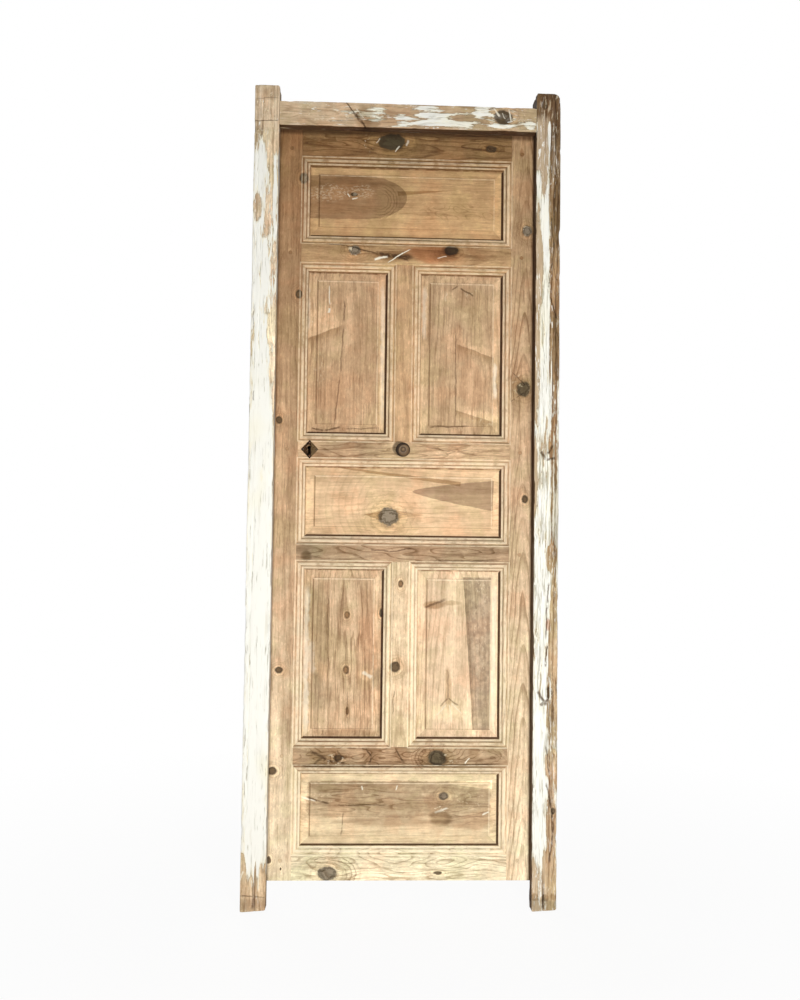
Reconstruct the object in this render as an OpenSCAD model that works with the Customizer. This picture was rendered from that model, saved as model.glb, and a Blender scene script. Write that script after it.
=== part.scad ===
// Old panelled pine door: a seven-panel leaf hung in a two-post frame with a head.
// The front looks along -Y, the hinges are on the right, and +Z is up.
// Millimetres. The origin is under the middle of the whole door, at the level of the feet.

/* [Leaf heights] */
// Bottom rail, from the leaf's foot to the edge of its moulding
bottom_rail_h = 88.5; // [75:0.5:140]
// Rail above the bottom panel, between its moulding edges
lower_rail_h = 91.5; // [75:0.5:130]
// Rail above the lower pair of panels
middle_rail_h = 88; // [75:0.5:130]
// Rail that carries the lock and the pull knob
lock_rail_h = 89; // [89:0.5:130]
// Rail under the top panel
frieze_rail_h = 97; // [75:0.5:130]
// Top rail, from the edge of its moulding to the leaf's top
top_rail_h = 104; // [90:0.5:150]
// Opening of the wide bottom panel
bottom_panel_h = 190.5; // [120:0.5:320]
// Opening of the lower pair of panels
lower_panel_h = 450; // [250:1:600]
// Opening of the wide middle panel
middle_panel_h = 187.5; // [120:0.5:320]
// Opening of the upper pair of panels
upper_panel_h = 440.5; // [250:0.5:600]
// Opening of the wide top panel
frieze_panel_h = 194.5; // [120:0.5:320]

/* [Leaf widths] */
// Stile, from the leaf's edge to the edge of its moulding
stile_w = 93; // [88:0.5:125]
// Muntin between its two moulding edges
muntin_w = 90.5; // [70:0.5:120]
// Opening of the tall panels on the lock side
left_panel_w = 214.5; // [140:0.5:320]
// Opening of the tall panels on the hinge side
right_panel_w = 224; // [140:0.5:320]

/* [Leaf section] */
// Thickness of the leaf
leaf_t = 38; // [34:0.5:50]
// Depth from the face of the leaf to the panel groove
groove_set = 14; // [12:0.5:16]
// Width of the panel groove, which is also the tenon's thickness
groove_t = 10; // [8:0.5:12]
// Depth of the panel groove from the moulding's edge
groove_d = 10; // [7:0.5:12]
// Length of the tenons beyond the bottom of the groove
tenon_l = 60; // [45:1:64]
// Shoulder left above the top tenon and below the bottom one
tenon_set = 25; // [15:1:35]

/* [Mouldings] */
// Width of the moulding worked on the edges of stiles, rails and muntins
moulding_w = 21; // [19:0.5:26]
// Radius of the round bead
bead_r = 6; // [5:0.1:6.5]
// Depth of the bead's crest under the face
bead_set = 0.8; // [0.2:0.1:1.5]
// Depth of the quirk beside the bead
quirk_d = 3; // [2:0.1:4]
// Width of the flat fillet at the panel side
fillet_w = 6.8; // [5:0.1:8]
// Depth of that fillet under the face
fillet_d = 6; // [5:0.1:7.5]

/* [Panels] */
// Depth of the raised field under the face of the leaf
field_set = 7; // [5.5:0.1:8.5]
// Height of the square step at the edge of the field
field_step = 2.5; // [1:0.1:3.5]
// Width of the sloping margin round the field
margin_w = 24; // [14:0.5:40]
// Room left for the panel to swell at the bottom of its groove
swell_gap = 2; // [1:0.1:4]
// Play of the panel's tongue on each face of the groove
panel_fit = 0.3; // [0.2:0.05:0.5]

/* [Frame] */
// Width of a post's face
post_w = 67.5; // [55:0.5:95]
// Height of the head's face
head_h = 66; // [58:0.5:100]
// Length of the horns above the head
horn_h = 42; // [25:1:90]
// Height of the leaf above the ends of the posts
foot_h = 71; // [20:1:120]
// Depth of the lip in front of the leaf
reveal_d = 32; // [22:0.5:45]
// Width of the rebate that the leaf shuts into
rebate_w = 14; // [11:0.5:18]
// Gap round the shut leaf, at its sides and its top
leaf_gap = 4; // [3:0.1:6]
// Gap between the face of the leaf and the lip
stop_gap = 2; // [1:0.1:4]
// Rise of the sawn end of the lock post towards the leaf
lock_foot_rise = 5; // [0:0.5:12]
// Rise of the sawn end of the hinge post away from the leaf
hinge_foot_rise = 4; // [0:0.5:12]
// Radius worn on the outer top corner of the hinge post
horn_wear_r = 10; // [3:0.5:20]
// Thickness of the head's tenons
head_tenon_t = 24; // [16:1:30]
// Height of the head's tenons
head_tenon_h = 36; // [24:1:40]
// Length of the head's tenons
head_tenon_l = 48; // [30:1:52]

/* [Hinges] */
// Distance from the leaf's ends to the middle of the outer hinges
hinge_inset = 210; // [120:5:400]
// Height of a hinge
hinge_h = 120; // [80:2:180]
// Width of a hinge plate beyond the knuckle
hinge_plate_w = 36; // [30:0.5:40]
// Thickness of a hinge plate
hinge_plate_t = 3; // [2.5:0.1:4]
// Outer radius of the knuckles
knuckle_r = 7; // [6:0.1:9]
// Radius of the hinge pin
hinge_pin_r = 4; // [3:0.1:4.5]
// Running clearance of the pin in the upper knuckle
pin_play = 0.08; // [0.05:0.01:0.1]

/* [Pull knob] */
// Radius of the turned knob
knob_r = 19.5; // [14:0.5:28]
// Distance from the leaf's face to the knob's tip
knob_reach = 48; // [42:0.5:60]
// Radius of the rose at the foot of the knob
rose_r = 15; // [12:0.5:22]
// Radius of the bolt that holds the knob
knob_bolt_r = 4; // [3:0.1:5]

/* [Escutcheon] */
// Width across the corners of the diamond plate
escutcheon_w = 47; // [44:0.5:52]
// Height across the corners of the diamond plate
escutcheon_h = 50; // [48:0.5:60]
// Thickness of the plate
escutcheon_t = 2; // [1:0.1:3]
// Distance from the stile's moulding edge to the keyhole
keyhole_inset = 8; // [7:0.5:20]
// Radius of the round top of the keyhole
keyhole_r = 5; // [4.5:0.1:5.5]
// Width of the slot below it
keyhole_slot_w = 6.5; // [6:0.1:7]
// Height of the whole keyhole
keyhole_h = 24; // [20:0.5:26]

/* [Lock] */
// Width of the lock case
case_w = 122; // [115:1:140]
// Height of the lock case
case_h = 66; // [64:0.5:66]
// Depth of the lock case behind the leaf
case_d = 22; // [20:0.5:28]
// Thickness of the case's sheet
case_t = 2.4; // [1.6:0.1:3]
// Height of the screwed flanges above and below the case
case_flange_h = 11; // [10:0.5:11]
// Height of the bolt
bolt_h = 14; // [10:0.5:14]
// Thickness of the bolt
bolt_t = 10; // [8:0.5:11]
// Length of the bolt
bolt_l = 84; // [70:1:95]
// Travel of the bolt
bolt_throw = 18; // [12:1:20]
// Width of the keeper on the lock post
keeper_w = 30; // [24:1:40]
// Thickness of the keeper's strap
keeper_t = 3; // [2:0.1:4]

/* [Fasteners] */
// Radius of the pegs through the leaf's tenons
peg_r = 5; // [3.5:0.1:6]
// Radius of the pegs through the head's tenons
frame_peg_r = 6; // [4:0.1:8]
// Radius of a screw's shank
screw_r = 2; // [1.5:0.1:2.3]
// Radius of a screw's head
screw_head_r = 4; // [3.2:0.1:4.4]
// Length of a screw
screw_l = 24; // [16:1:28]
// Radius of a nail that holds the escutcheon
nail_r = 1.2; // [0.8:0.1:1.6]
// Length of a nail
nail_l = 14; // [8:1:20]

/* [Hidden] */
$fn = 48;

// How far every cut runs past the face that it opens
overrun = 1;
// Play of tenons in mortises and of pegs, screws and nails in their holes
joint_fit = 0.2;
// Room at the blind end of mortises and holes
end_room = 2;
// Play round the bolt of the lock
bolt_fit = 0.3;

// Levels of the leaf: rails and openings follow each other from the foot up
rail_heights = [bottom_rail_h, lower_rail_h, middle_rail_h, lock_rail_h, frieze_rail_h, top_rail_h];
panel_heights = [bottom_panel_h, lower_panel_h, middle_panel_h, upper_panel_h, frieze_panel_h];
top_level = len(panel_heights);
// Openings that a muntin divides, from the foot up
is_divided = [false, true, false, true, false];
split_levels = [for (i = [0 : top_level - 1]) if (is_divided[i]) i];
function sum_to(list, n) = n == 0 ? 0 : sum_to(list, n - 1) + list[n - 1];
function rail_low(i) = foot_h + sum_to(rail_heights, i) + sum_to(panel_heights, i);
function rail_high(i) = rail_low(i) + rail_heights[i];
leaf_bottom = foot_h;
leaf_top = rail_high(top_level);

// Widths across the leaf and the frame
leaf_w = stile_w + left_panel_w + muntin_w + right_panel_w + stile_w;
leaf_left = -leaf_w / 2;
sight_left = leaf_left + stile_w;
sight_right = -sight_left;
flat_left = sight_left - moulding_w;
flat_right = -flat_left;
muntin_left = sight_left + left_panel_w;
muntin_right = muntin_left + muntin_w;
muntin_mid = (muntin_left + muntin_right) / 2;
rebate_left = leaf_left - leaf_gap;
lip_left = rebate_left + rebate_w;
post_left = lip_left - post_w;

// Levels of the frame
rebate_top = leaf_top + leaf_gap;
head_bottom = rebate_top - rebate_w;
head_top = head_bottom + head_h;
post_top = head_top + horn_h;

// Depths: the box from the knob's tip to the lock's back is centred on the origin
frame_d = reveal_d + stop_gap + leaf_t;
hinge_lift = 0.5;
hinge_out = knuckle_r + hinge_lift;
back_reach = frame_d + max(case_d, hinge_out + knuckle_r);
front_reach = max(knob_reach - reveal_d - stop_gap, 0);
frame_front = -(back_reach - front_reach) / 2;
frame_back = frame_front + frame_d;
lip_back = frame_front + reveal_d;
leaf_front = lip_back + stop_gap;
leaf_back = leaf_front + leaf_t;
groove_front = leaf_front + groove_set;
groove_back = groove_front + groove_t;

// Hinge axis behind the gap on the hinge side, and the three hinge levels
hinge_x = -leaf_left + leaf_gap / 2;
hinge_y = leaf_back + hinge_out;
hinge_levels = [leaf_top - hinge_inset, (leaf_top + leaf_bottom) / 2, leaf_bottom + hinge_inset];
plate_clear = 0.6;
plate_start = knuckle_r + plate_clear;
hinge_screw_shares = [[0.35, -0.38], [0.65, 0], [0.35, 0.38]];

// Places on the lock rail, which is under the upper divided opening
lock_level = split_levels[1];
lock_z = (rail_low(lock_level) + rail_high(lock_level)) / 2;
keyhole_x = sight_left + keyhole_inset;
keyhole_shift = 2.5;
escutcheon_x = keyhole_x + keyhole_shift;
keyhole_top = lock_z + keyhole_h / 2;
case_left = leaf_left + case_t;
case_right = case_left + case_w;
bolt_rise = 1.5;
bolt_low = keyhole_top + bolt_rise;
bolt_high = bolt_low + bolt_h;
bolt_set = 5;
bolt_front = leaf_back + bolt_set;
bolt_back = bolt_front + bolt_t;
bolt_mid_z = (bolt_low + bolt_high) / 2;
stud_r = 3;
stud_share = 0.62;
stud_x = case_left + case_w * stud_share;
case_screw_inset = 14;
// The lock's screws stop behind the panel groove
case_screw_l = leaf_back - groove_back + case_t - 2 * end_room;
keeper_gap = 1.5;
keeper_flange_h = 18;

// Turned knob: levels are shares of its reach, radii shares of its own radius
rose_t_share = 0.1;
neck_r_share = 0.42;
neck_end_share = 0.36;
waist_share = 0.66;
crown_share = 0.93;
crown_r_share = 0.42;
boss_r_share = 0.24;
knob_socket_share = 0.45;
washer_r = 11;
washer_t = 2;
nut_r = 8;
nut_t = 7;
bolt_end_l = 3;

// Wood screws and nails
screw_head_d = screw_head_r - screw_r;
nail_head_r = 2.4;
nail_head_t = 1.4;
nail_inset_share = 0.72;

wood = "burlywood";
aged_wood = "peru";
painted_wood = "wheat";
iron = "dimgray";
rust = "saddlebrown";

// Draws a flat shape of X and Z and gives it a depth from y0 to y1
module depth(y0, y1) {
    translate([0, y1, 0]) rotate([90, 0, 0]) linear_extrude(y1 - y0) children();
}

// Rectangle between two corners
module area(x0, z0, x1, z1) {
    translate([x0, z0]) square([x1 - x0, z1 - z0]);
}

// Section that the moulding plane takes off: u runs from the sight edge into the wood
module moulding_section() {
    bead_u = fillet_w + bead_r;
    difference() {
        union() {
            area(-overrun, -overrun, bead_u, fillet_d);
            area(fillet_w, -overrun, moulding_w, quirk_d);
        }
        translate([bead_u, bead_set + bead_r]) circle(bead_r);
    }
}

// Waste of an upright moulding at sight edge x; the wood lies on its dir side
module upright_waste(x, dir) {
    run = leaf_top - leaf_bottom + 2 * overrun;
    translate([x, leaf_front, leaf_bottom - overrun])
        mirror([dir < 0 ? 1 : 0, 0, 0])
            linear_extrude(run) moulding_section();
}

// Waste of a level moulding at sight edge z; the wood lies above for dir 1, below for -1
module level_waste(z, dir) {
    translate([0, leaf_front, z])
        rotate([0, -90 * dir, 0])
            translate([0, 0, -leaf_w / 2])
                linear_extrude(leaf_w) moulding_section();
}

// Round hole or pin along Y
module rod(x, z, y0, y1, r) {
    translate([x, y1, z]) rotate([90, 0, 0]) cylinder(h = y1 - y0, r = r);
}

// Countersunk wood screw driven towards -Y, with its head flush at y; play widens the hole
module screw(x, z, y, length, play = 0) {
    tip = play > 0 ? end_room : 0;
    rod(x, z, y - length - tip, y, screw_r + play);
    translate([x, y + play, z]) rotate([90, 0, 0])
        cylinder(h = screw_head_d, r1 = screw_head_r + play, r2 = screw_r + play);
}

// Levels of a rail's tenon: [low, high]
function tenon_low(i) = i == 0 ? rail_low(i) + tenon_set : rail_low(i) + groove_d;
function tenon_high(i) = i == top_level ? rail_high(i) - tenon_set : rail_high(i) - groove_d;
tenon_end = sight_left - groove_d - tenon_l;
peg_x = tenon_end + tenon_l / 3;
function peg_z(i) = (tenon_low(i) + tenon_high(i)) / 2;

// Outline of the stile's face: a tooth of moulding beside every opening
stile_face = concat(
    [[leaf_left, leaf_bottom], [flat_left, leaf_bottom]],
    [for (i = [0 : top_level - 1]) each [
        [flat_left, rail_high(i) - moulding_w], [sight_left, rail_high(i)],
        [sight_left, rail_low(i + 1)], [flat_left, rail_low(i + 1) + moulding_w]]],
    [[flat_left, leaf_top], [leaf_left, leaf_top]]);

module peg_holes(side) {
    for (i = [0 : top_level])
        rod(side * -peg_x, peg_z(i), leaf_front - overrun, leaf_back + overrun, peg_r + joint_fit);
}

// Stile of the lock side; the hinge side is its mirror image
module stile() {
    difference() {
        union() {
            depth(leaf_front, groove_front) polygon(stile_face);
            depth(groove_front, groove_back) difference() {
                area(leaf_left, leaf_bottom, sight_left - groove_d, leaf_top);
                for (i = [0 : top_level])
                    area(tenon_end - end_room, tenon_low(i) - joint_fit,
                         sight_left, tenon_high(i) + joint_fit);
            }
            depth(groove_back, leaf_back) area(leaf_left, leaf_bottom, sight_left, leaf_top);
        }
        upright_waste(sight_left, -1);
        peg_holes(-1);
    }
}

module lock_stile() {
    color(wood) difference() {
        stile();
        case_screws(joint_fit);
    }
}

module hinge_stile() {
    color(wood) difference() {
        mirror([1, 0, 0]) stile();
        for (z = hinge_levels) hinge_screws(z, -1, joint_fit);
    }
}

// Outline of a rail's face, mitred to the stiles and notched for the muntins
function notch(z, dir) = [
    [muntin_left, z], [muntin_left + moulding_w, z + dir * moulding_w],
    [muntin_right - moulding_w, z + dir * moulding_w], [muntin_right, z]];
function reversed(list) = [for (k = [len(list) - 1 : -1 : 0]) list[k]];
function rail_foot(i) = i == 0
    ? [[flat_left, rail_low(i)], [flat_right, rail_low(i)]]
    : concat([[flat_left, rail_low(i) + moulding_w], [sight_left, rail_low(i)]],
             is_divided[i - 1] ? notch(rail_low(i), 1) : [],
             [[sight_right, rail_low(i)], [flat_right, rail_low(i) + moulding_w]]);
function rail_crown(i) = i == top_level
    ? [[flat_right, rail_high(i)], [flat_left, rail_high(i)]]
    : concat([[flat_right, rail_high(i) - moulding_w], [sight_right, rail_high(i)]],
             is_divided[i] ? reversed(notch(rail_high(i), -1)) : [],
             [[sight_left, rail_high(i)], [flat_left, rail_high(i) - moulding_w]]);

module rail(i) {
    core_low = i == 0 ? rail_low(i) : rail_low(i) + groove_d;
    core_high = i == top_level ? rail_high(i) : rail_high(i) - groove_d;
    haunch = groove_d - joint_fit;
    difference() {
        union() {
            depth(leaf_front, groove_front) polygon(concat(rail_foot(i), rail_crown(i)));
            depth(groove_front, groove_back) area(sight_left, core_low, sight_right, core_high);
            depth(groove_back, leaf_back)
                area(sight_left, rail_low(i), sight_right, rail_high(i));
            depth(groove_front + joint_fit, groove_back - joint_fit) {
                area(sight_left - haunch, core_low, sight_right + haunch, core_high);
                area(tenon_end, tenon_low(i), -tenon_end, tenon_high(i));
            }
        }
        if (i > 0) level_waste(rail_low(i), 1);
        if (i < top_level) level_waste(rail_high(i), -1);
        peg_holes(-1);
        peg_holes(1);
    }
}

module bottom_rail() { color(wood) rail(0); }
module lower_rail() { color(wood) rail(1); }
module middle_rail() { color(wood) rail(2); }
module frieze_rail() { color(wood) rail(4); }
module top_rail() { color(wood) rail(5); }

// Keyhole: a round top over a parallel slot
module keyhole_outline() {
    translate([keyhole_x, keyhole_top - keyhole_r]) circle(keyhole_r);
    area(keyhole_x - keyhole_slot_w / 2, keyhole_top - keyhole_h,
         keyhole_x + keyhole_slot_w / 2, keyhole_top - keyhole_r);
}

module lock_rail() {
    color(wood) difference() {
        rail(lock_level);
        depth(leaf_front - overrun, leaf_back + overrun) keyhole_outline();
        rod(muntin_mid, lock_z, leaf_front - overrun, leaf_back + overrun, knob_bolt_r + joint_fit);
        nails(joint_fit);
        case_screws(joint_fit);
    }
}

// Muntin in the opening of one level, mitred into the rails above and below it
module muntin(level) {
    low = rail_high(level);
    high = rail_low(level + 1);
    stub = groove_d - joint_fit;
    face = concat(notch(low, -1), reversed(notch(high, 1)));
    difference() {
        union() {
            depth(leaf_front, groove_front) polygon(face);
            depth(groove_front, groove_back)
                area(muntin_left + groove_d, low, muntin_right - groove_d, high);
            depth(groove_back, leaf_back) area(muntin_left, low, muntin_right, high);
            depth(groove_front + joint_fit, groove_back - joint_fit)
                area(muntin_left + groove_d, low - stub, muntin_right - groove_d, high + stub);
        }
        upright_waste(muntin_left, 1);
        upright_waste(muntin_right, -1);
    }
}

module lower_muntin() { color(wood) muntin(split_levels[0]); }
module upper_muntin() { color(wood) muntin(split_levels[1]); }

// Waste of one edge of a raised panel, along a length; u runs inwards from the tongue's edge
module margin_waste(length) {
    tongue_w = groove_d - swell_gap;
    edge = tongue_w + margin_w;
    field = leaf_front + field_set;
    tongue = groove_front + panel_fit;
    translate([0, 0, -length / 2 - overrun]) linear_extrude(length + 2 * overrun)
        polygon([[-overrun, field - overrun], [edge, field - overrun], [edge, field + field_step],
                 [tongue_w, tongue], [-overrun, tongue]]);
}

// Raised and fielded panel in the opening of one level, between two sight edges
module panel(x0, x1, level) {
    tongue_w = groove_d - swell_gap;
    w = x1 - x0 + 2 * tongue_w;
    h = panel_heights[level] + 2 * tongue_w;
    translate([(x0 + x1) / 2, 0, (rail_high(level) + rail_low(level + 1)) / 2]) difference() {
        depth(leaf_front + field_set, groove_back - panel_fit) area(-w / 2, -h / 2, w / 2, h / 2);
        for (side = [0, 1]) mirror([side, 0, 0]) translate([-w / 2, 0, 0]) margin_waste(h);
        for (side = [0, 1]) mirror([0, 0, side]) translate([0, 0, -h / 2])
            rotate([0, -90, 0]) margin_waste(w);
    }
}

module bottom_panel() { color(aged_wood) panel(sight_left, sight_right, 0); }
module lower_left_panel() { color(wood) panel(sight_left, muntin_left, 1); }
module lower_right_panel() { color(wood) panel(muntin_right, sight_right, 1); }
module middle_panel() { color(wood) panel(sight_left, sight_right, 2); }
module upper_left_panel() { color(wood) panel(sight_left, muntin_left, 3); }
module upper_right_panel() { color(wood) panel(muntin_right, sight_right, 3); }
module frieze_panel() { color(aged_wood) panel(sight_left, sight_right, 4); }

module leaf_pegs() {
    color(aged_wood) for (side = [-1, 1], i = [0 : top_level])
        rod(side * -peg_x, peg_z(i), leaf_front, leaf_back, peg_r);
}

// Head tenon in the post, and the peg that locks it from the back
head_tenon_z = (rebate_top + head_top) / 2;
head_tenon_y = (frame_front + frame_back) / 2;
frame_peg_x = lip_left - head_tenon_l / 2;

module head_tenon(play) {
    depth(head_tenon_y - head_tenon_t / 2 - play, head_tenon_y + head_tenon_t / 2 + play)
        area(lip_left - head_tenon_l - 2 * play, head_tenon_z - head_tenon_h / 2 - play,
             lip_left + overrun, head_tenon_z + head_tenon_h / 2 + play);
}

module frame_peg(play) {
    rod(frame_peg_x, head_tenon_z, frame_front + head_tenon_t / 2 - play,
        play > 0 ? frame_back + overrun : frame_back, frame_peg_r + play);
}

// Post of the lock side from its face outline; the rebate runs up to the head's own
module post() {
    difference() {
        depth(frame_front, frame_back) children();
        depth(lip_back, frame_back + overrun)
            area(rebate_left, -overrun, lip_left + overrun, rebate_top);
        head_tenon(joint_fit);
        frame_peg(joint_fit);
    }
}

module lock_post() {
    color(painted_wood) difference() {
        post() polygon([[post_left, 0], [lip_left, lock_foot_rise],
                        [lip_left, post_top], [post_left, post_top]]);
        keeper_screw_set(joint_fit);
    }
}

module hinge_post() {
    corner = post_left + horn_wear_r;
    color(painted_wood) difference() {
        mirror([1, 0, 0]) post() difference() {
            polygon([[post_left, hinge_foot_rise], [lip_left, 0],
                     [lip_left, post_top], [post_left, post_top]]);
            difference() {
                area(post_left - overrun, post_top - horn_wear_r, corner, post_top + overrun);
                translate([corner, post_top - horn_wear_r]) circle(horn_wear_r);
            }
        }
        for (z = hinge_levels) hinge_screws(z, 1, joint_fit);
    }
}

module frame_head() {
    color(painted_wood) difference() {
        union() {
            depth(frame_front, lip_back) area(lip_left, head_bottom, -lip_left, head_top);
            depth(lip_back, frame_back) area(lip_left, rebate_top, -lip_left, head_top);
            head_tenon(0);
            mirror([1, 0, 0]) head_tenon(0);
        }
        frame_peg(joint_fit);
        mirror([1, 0, 0]) frame_peg(joint_fit);
    }
}

module frame_pegs() {
    color(aged_wood) for (side = [0, 1]) mirror([side, 0, 0]) frame_peg(0);
}

// Hinge plate on the frame for side 1, on the leaf for side -1, with its half of the knuckle
module hinge_plate(z, side) {
    low = side > 0 ? z - hinge_h / 2 : z;
    start = side > 0 ? 0 : plate_clear;
    bore_r = side > 0 ? hinge_pin_r : hinge_pin_r + pin_play;
    root = hinge_x + side * plate_start;
    tip = root + side * hinge_plate_w;
    color(iron) difference() {
        union() {
            translate([hinge_x, hinge_y, low + start]) cylinder(h = hinge_h / 2 - start, r = knuckle_r);
            depth(leaf_back, leaf_back + hinge_plate_t) {
                area(min(root, tip), z - hinge_h / 2, max(root, tip), z + hinge_h / 2);
                area(min(root, hinge_x), low + start, max(root, hinge_x), low + hinge_h / 2);
            }
        }
        translate([hinge_x, hinge_y, low - overrun]) cylinder(h = hinge_h / 2 + 2 * overrun, r = bore_r);
        hinge_screws(z, side, joint_fit);
    }
}

module hinge_pin(z) {
    color(iron) translate([hinge_x, hinge_y, z - hinge_h / 2]) cylinder(h = hinge_h, r = hinge_pin_r);
}

module hinge_screws(z, side, play = 0) {
    for (share = hinge_screw_shares)
        screw(hinge_x + side * (plate_start + hinge_plate_w * share[0]), z + hinge_h * share[1],
              leaf_back + hinge_plate_t, screw_l, play);
}

module upper_hinge_frame_plate() { hinge_plate(hinge_levels[0], 1); }
module middle_hinge_frame_plate() { hinge_plate(hinge_levels[1], 1); }
module lower_hinge_frame_plate() { hinge_plate(hinge_levels[2], 1); }
module upper_hinge_leaf_plate() { hinge_plate(hinge_levels[0], -1); }
module middle_hinge_leaf_plate() { hinge_plate(hinge_levels[1], -1); }
module lower_hinge_leaf_plate() { hinge_plate(hinge_levels[2], -1); }
module upper_hinge_pin() { hinge_pin(hinge_levels[0]); }
module middle_hinge_pin() { hinge_pin(hinge_levels[1]); }
module lower_hinge_pin() { hinge_pin(hinge_levels[2]); }
module hinge_frame_screws() { color(iron) for (z = hinge_levels) hinge_screws(z, 1); }
module hinge_leaf_screws() { color(iron) for (z = hinge_levels) hinge_screws(z, -1); }

// Diamond escutcheon with the keyhole and a nail near each corner
nail_places = [for (share = [[1, 0], [-1, 0], [0, 1], [0, -1]])
    [escutcheon_x + share[0] * nail_inset_share * escutcheon_w / 2,
     lock_z + share[1] * nail_inset_share * escutcheon_h / 2]];

module nails(play = 0) {
    tip = play > 0 ? end_room : 0;
    for (place = nail_places)
        rod(place[0], place[1], leaf_front - escutcheon_t, leaf_front + nail_l + tip, nail_r + play);
}

module escutcheon() {
    color(rust) difference() {
        depth(leaf_front - escutcheon_t, leaf_front)
            polygon([[escutcheon_x - escutcheon_w / 2, lock_z], [escutcheon_x, lock_z - escutcheon_h / 2],
                     [escutcheon_x + escutcheon_w / 2, lock_z], [escutcheon_x, lock_z + escutcheon_h / 2]]);
        depth(leaf_front - escutcheon_t - overrun, leaf_front + overrun) keyhole_outline();
        translate([0, -overrun, 0]) nails(joint_fit);
    }
}

module escutcheon_nails() {
    color(iron) {
        nails();
        for (place = nail_places)
            rod(place[0], place[1], leaf_front - escutcheon_t - nail_head_t,
                leaf_front - escutcheon_t, nail_head_r);
    }
}

// Turned pull knob on its rose, bored at the back for its bolt
module pull_knob() {
    neck_r = knob_r * neck_r_share;
    color(rust) translate([muntin_mid, leaf_front, lock_z]) rotate([90, 0, 0]) difference() {
        rotate_extrude() polygon([
            [0, 0], [rose_r, 0], [rose_r, knob_reach * rose_t_share / 2],
            [neck_r, knob_reach * rose_t_share], [neck_r, knob_reach * neck_end_share],
            for (turn = [-60 : 20 : 60])
                [knob_r * cos(turn), knob_reach * (waist_share + (crown_share - waist_share) * sin(turn))],
            [knob_r * crown_r_share, knob_reach * crown_share],
            [knob_r * boss_r_share, knob_reach * crown_share],
            [knob_r * boss_r_share, knob_reach], [0, knob_reach]]);
        translate([0, 0, -overrun])
            cylinder(h = knob_reach * knob_socket_share + end_room + overrun, r = knob_bolt_r + joint_fit);
    }
}

module knob_bolt() {
    color(iron) rod(muntin_mid, lock_z, leaf_front - knob_reach * knob_socket_share,
                    leaf_back + washer_t + nut_t + bolt_end_l, knob_bolt_r);
}

module knob_washer() {
    color(iron) difference() {
        rod(muntin_mid, lock_z, leaf_back, leaf_back + washer_t, washer_r);
        rod(muntin_mid, lock_z, leaf_back - overrun, leaf_back + washer_t + overrun, knob_bolt_r + joint_fit);
    }
}

module knob_nut() {
    seat = leaf_back + washer_t;
    color(iron) difference() {
        translate([muntin_mid, seat + nut_t, lock_z]) rotate([90, 0, 0]) cylinder(h = nut_t, r = nut_r, $fn = 6);
        rod(muntin_mid, lock_z, seat - overrun, seat + nut_t + overrun, knob_bolt_r + joint_fit);
    }
}

// Rim lock on the back of the leaf: a folded case, open towards the wood
case_low = lock_z - case_h / 2;
case_high = lock_z + case_h / 2;

module case_screws(play = 0) {
    for (x = [case_left + case_screw_inset, case_right - case_screw_inset], side = [-1, 1])
        screw(x, lock_z + side * (case_h + case_flange_h) / 2, leaf_back + case_t, case_screw_l, play);
}

module lock_case() {
    color(rust) difference() {
        union() {
            depth(leaf_back, leaf_back + case_t)
                area(case_left, case_low - case_flange_h, case_right, case_high + case_flange_h);
            depth(leaf_back, leaf_back + case_d) area(case_left, case_low, case_right, case_high);
        }
        depth(leaf_back - overrun, leaf_back + case_d - case_t)
            area(case_left + case_t, case_low + case_t, case_right - case_t, case_high - case_t);
        depth(bolt_front - bolt_fit, bolt_back + bolt_fit)
            area(case_left - overrun, bolt_low - bolt_fit, case_left + case_t + overrun, bolt_high + bolt_fit);
        case_screws(joint_fit);
    }
}

// Stud riveted to the case, which guides the slot of the bolt
module lock_stud() {
    color(iron) rod(stud_x, bolt_mid_z, bolt_front - bolt_fit, leaf_back + case_d - case_t, stud_r);
}

// Bowed strip between the top of the case and the bolt
spring_t = 1.2;
spring_w = 8;
spring_share = 0.3;

module lock_spring() {
    roof = case_high - case_t;
    low = bolt_high + bolt_fit;
    x0 = stud_x - case_w * spring_share;
    x1 = stud_x + case_w * spring_share;
    mid_y = (bolt_front + bolt_back) / 2;
    color(iron) depth(mid_y - spring_w / 2, mid_y + spring_w / 2)
        polygon([[x0, roof], [x0, roof - spring_t], [stud_x, low], [x1, roof - spring_t],
                 [x1, roof], [stud_x, min(low + spring_t, roof)]]);
}

module lock_screws() { color(iron) case_screws(); }

// Bolt, drawn back flush with the case, with a slot for the stud and a talon for the key
talon_w = 9;
talon_h_share = 0.35;

module lock_bolt() {
    slot_r = stud_r + bolt_fit;
    color(iron) depth(bolt_front, bolt_back) difference() {
        area(case_left, bolt_low, case_left + bolt_l, bolt_high);
        for (x = [stud_x, stud_x + bolt_throw]) translate([x, bolt_mid_z]) circle(slot_r);
        area(stud_x, bolt_mid_z - slot_r, stud_x + bolt_throw, bolt_mid_z + slot_r);
        area(keyhole_x - talon_w / 2, bolt_low - overrun,
             keyhole_x + talon_w / 2, bolt_low + bolt_h * talon_h_share);
    }
}

// Keeper: a strap bent over the thrown bolt and screwed to the back of the lock post
keeper_low = bolt_low - keeper_gap - keeper_t;
keeper_high = bolt_high + keeper_gap + keeper_t;
keeper_back = bolt_back + keeper_gap + keeper_t;

module keeper_screw_set(play = 0) {
    for (z = [keeper_low - keeper_flange_h / 2, keeper_high + keeper_flange_h / 2])
        screw(rebate_left - keeper_w / 2, z, frame_back + keeper_t, screw_l, play);
}

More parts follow.
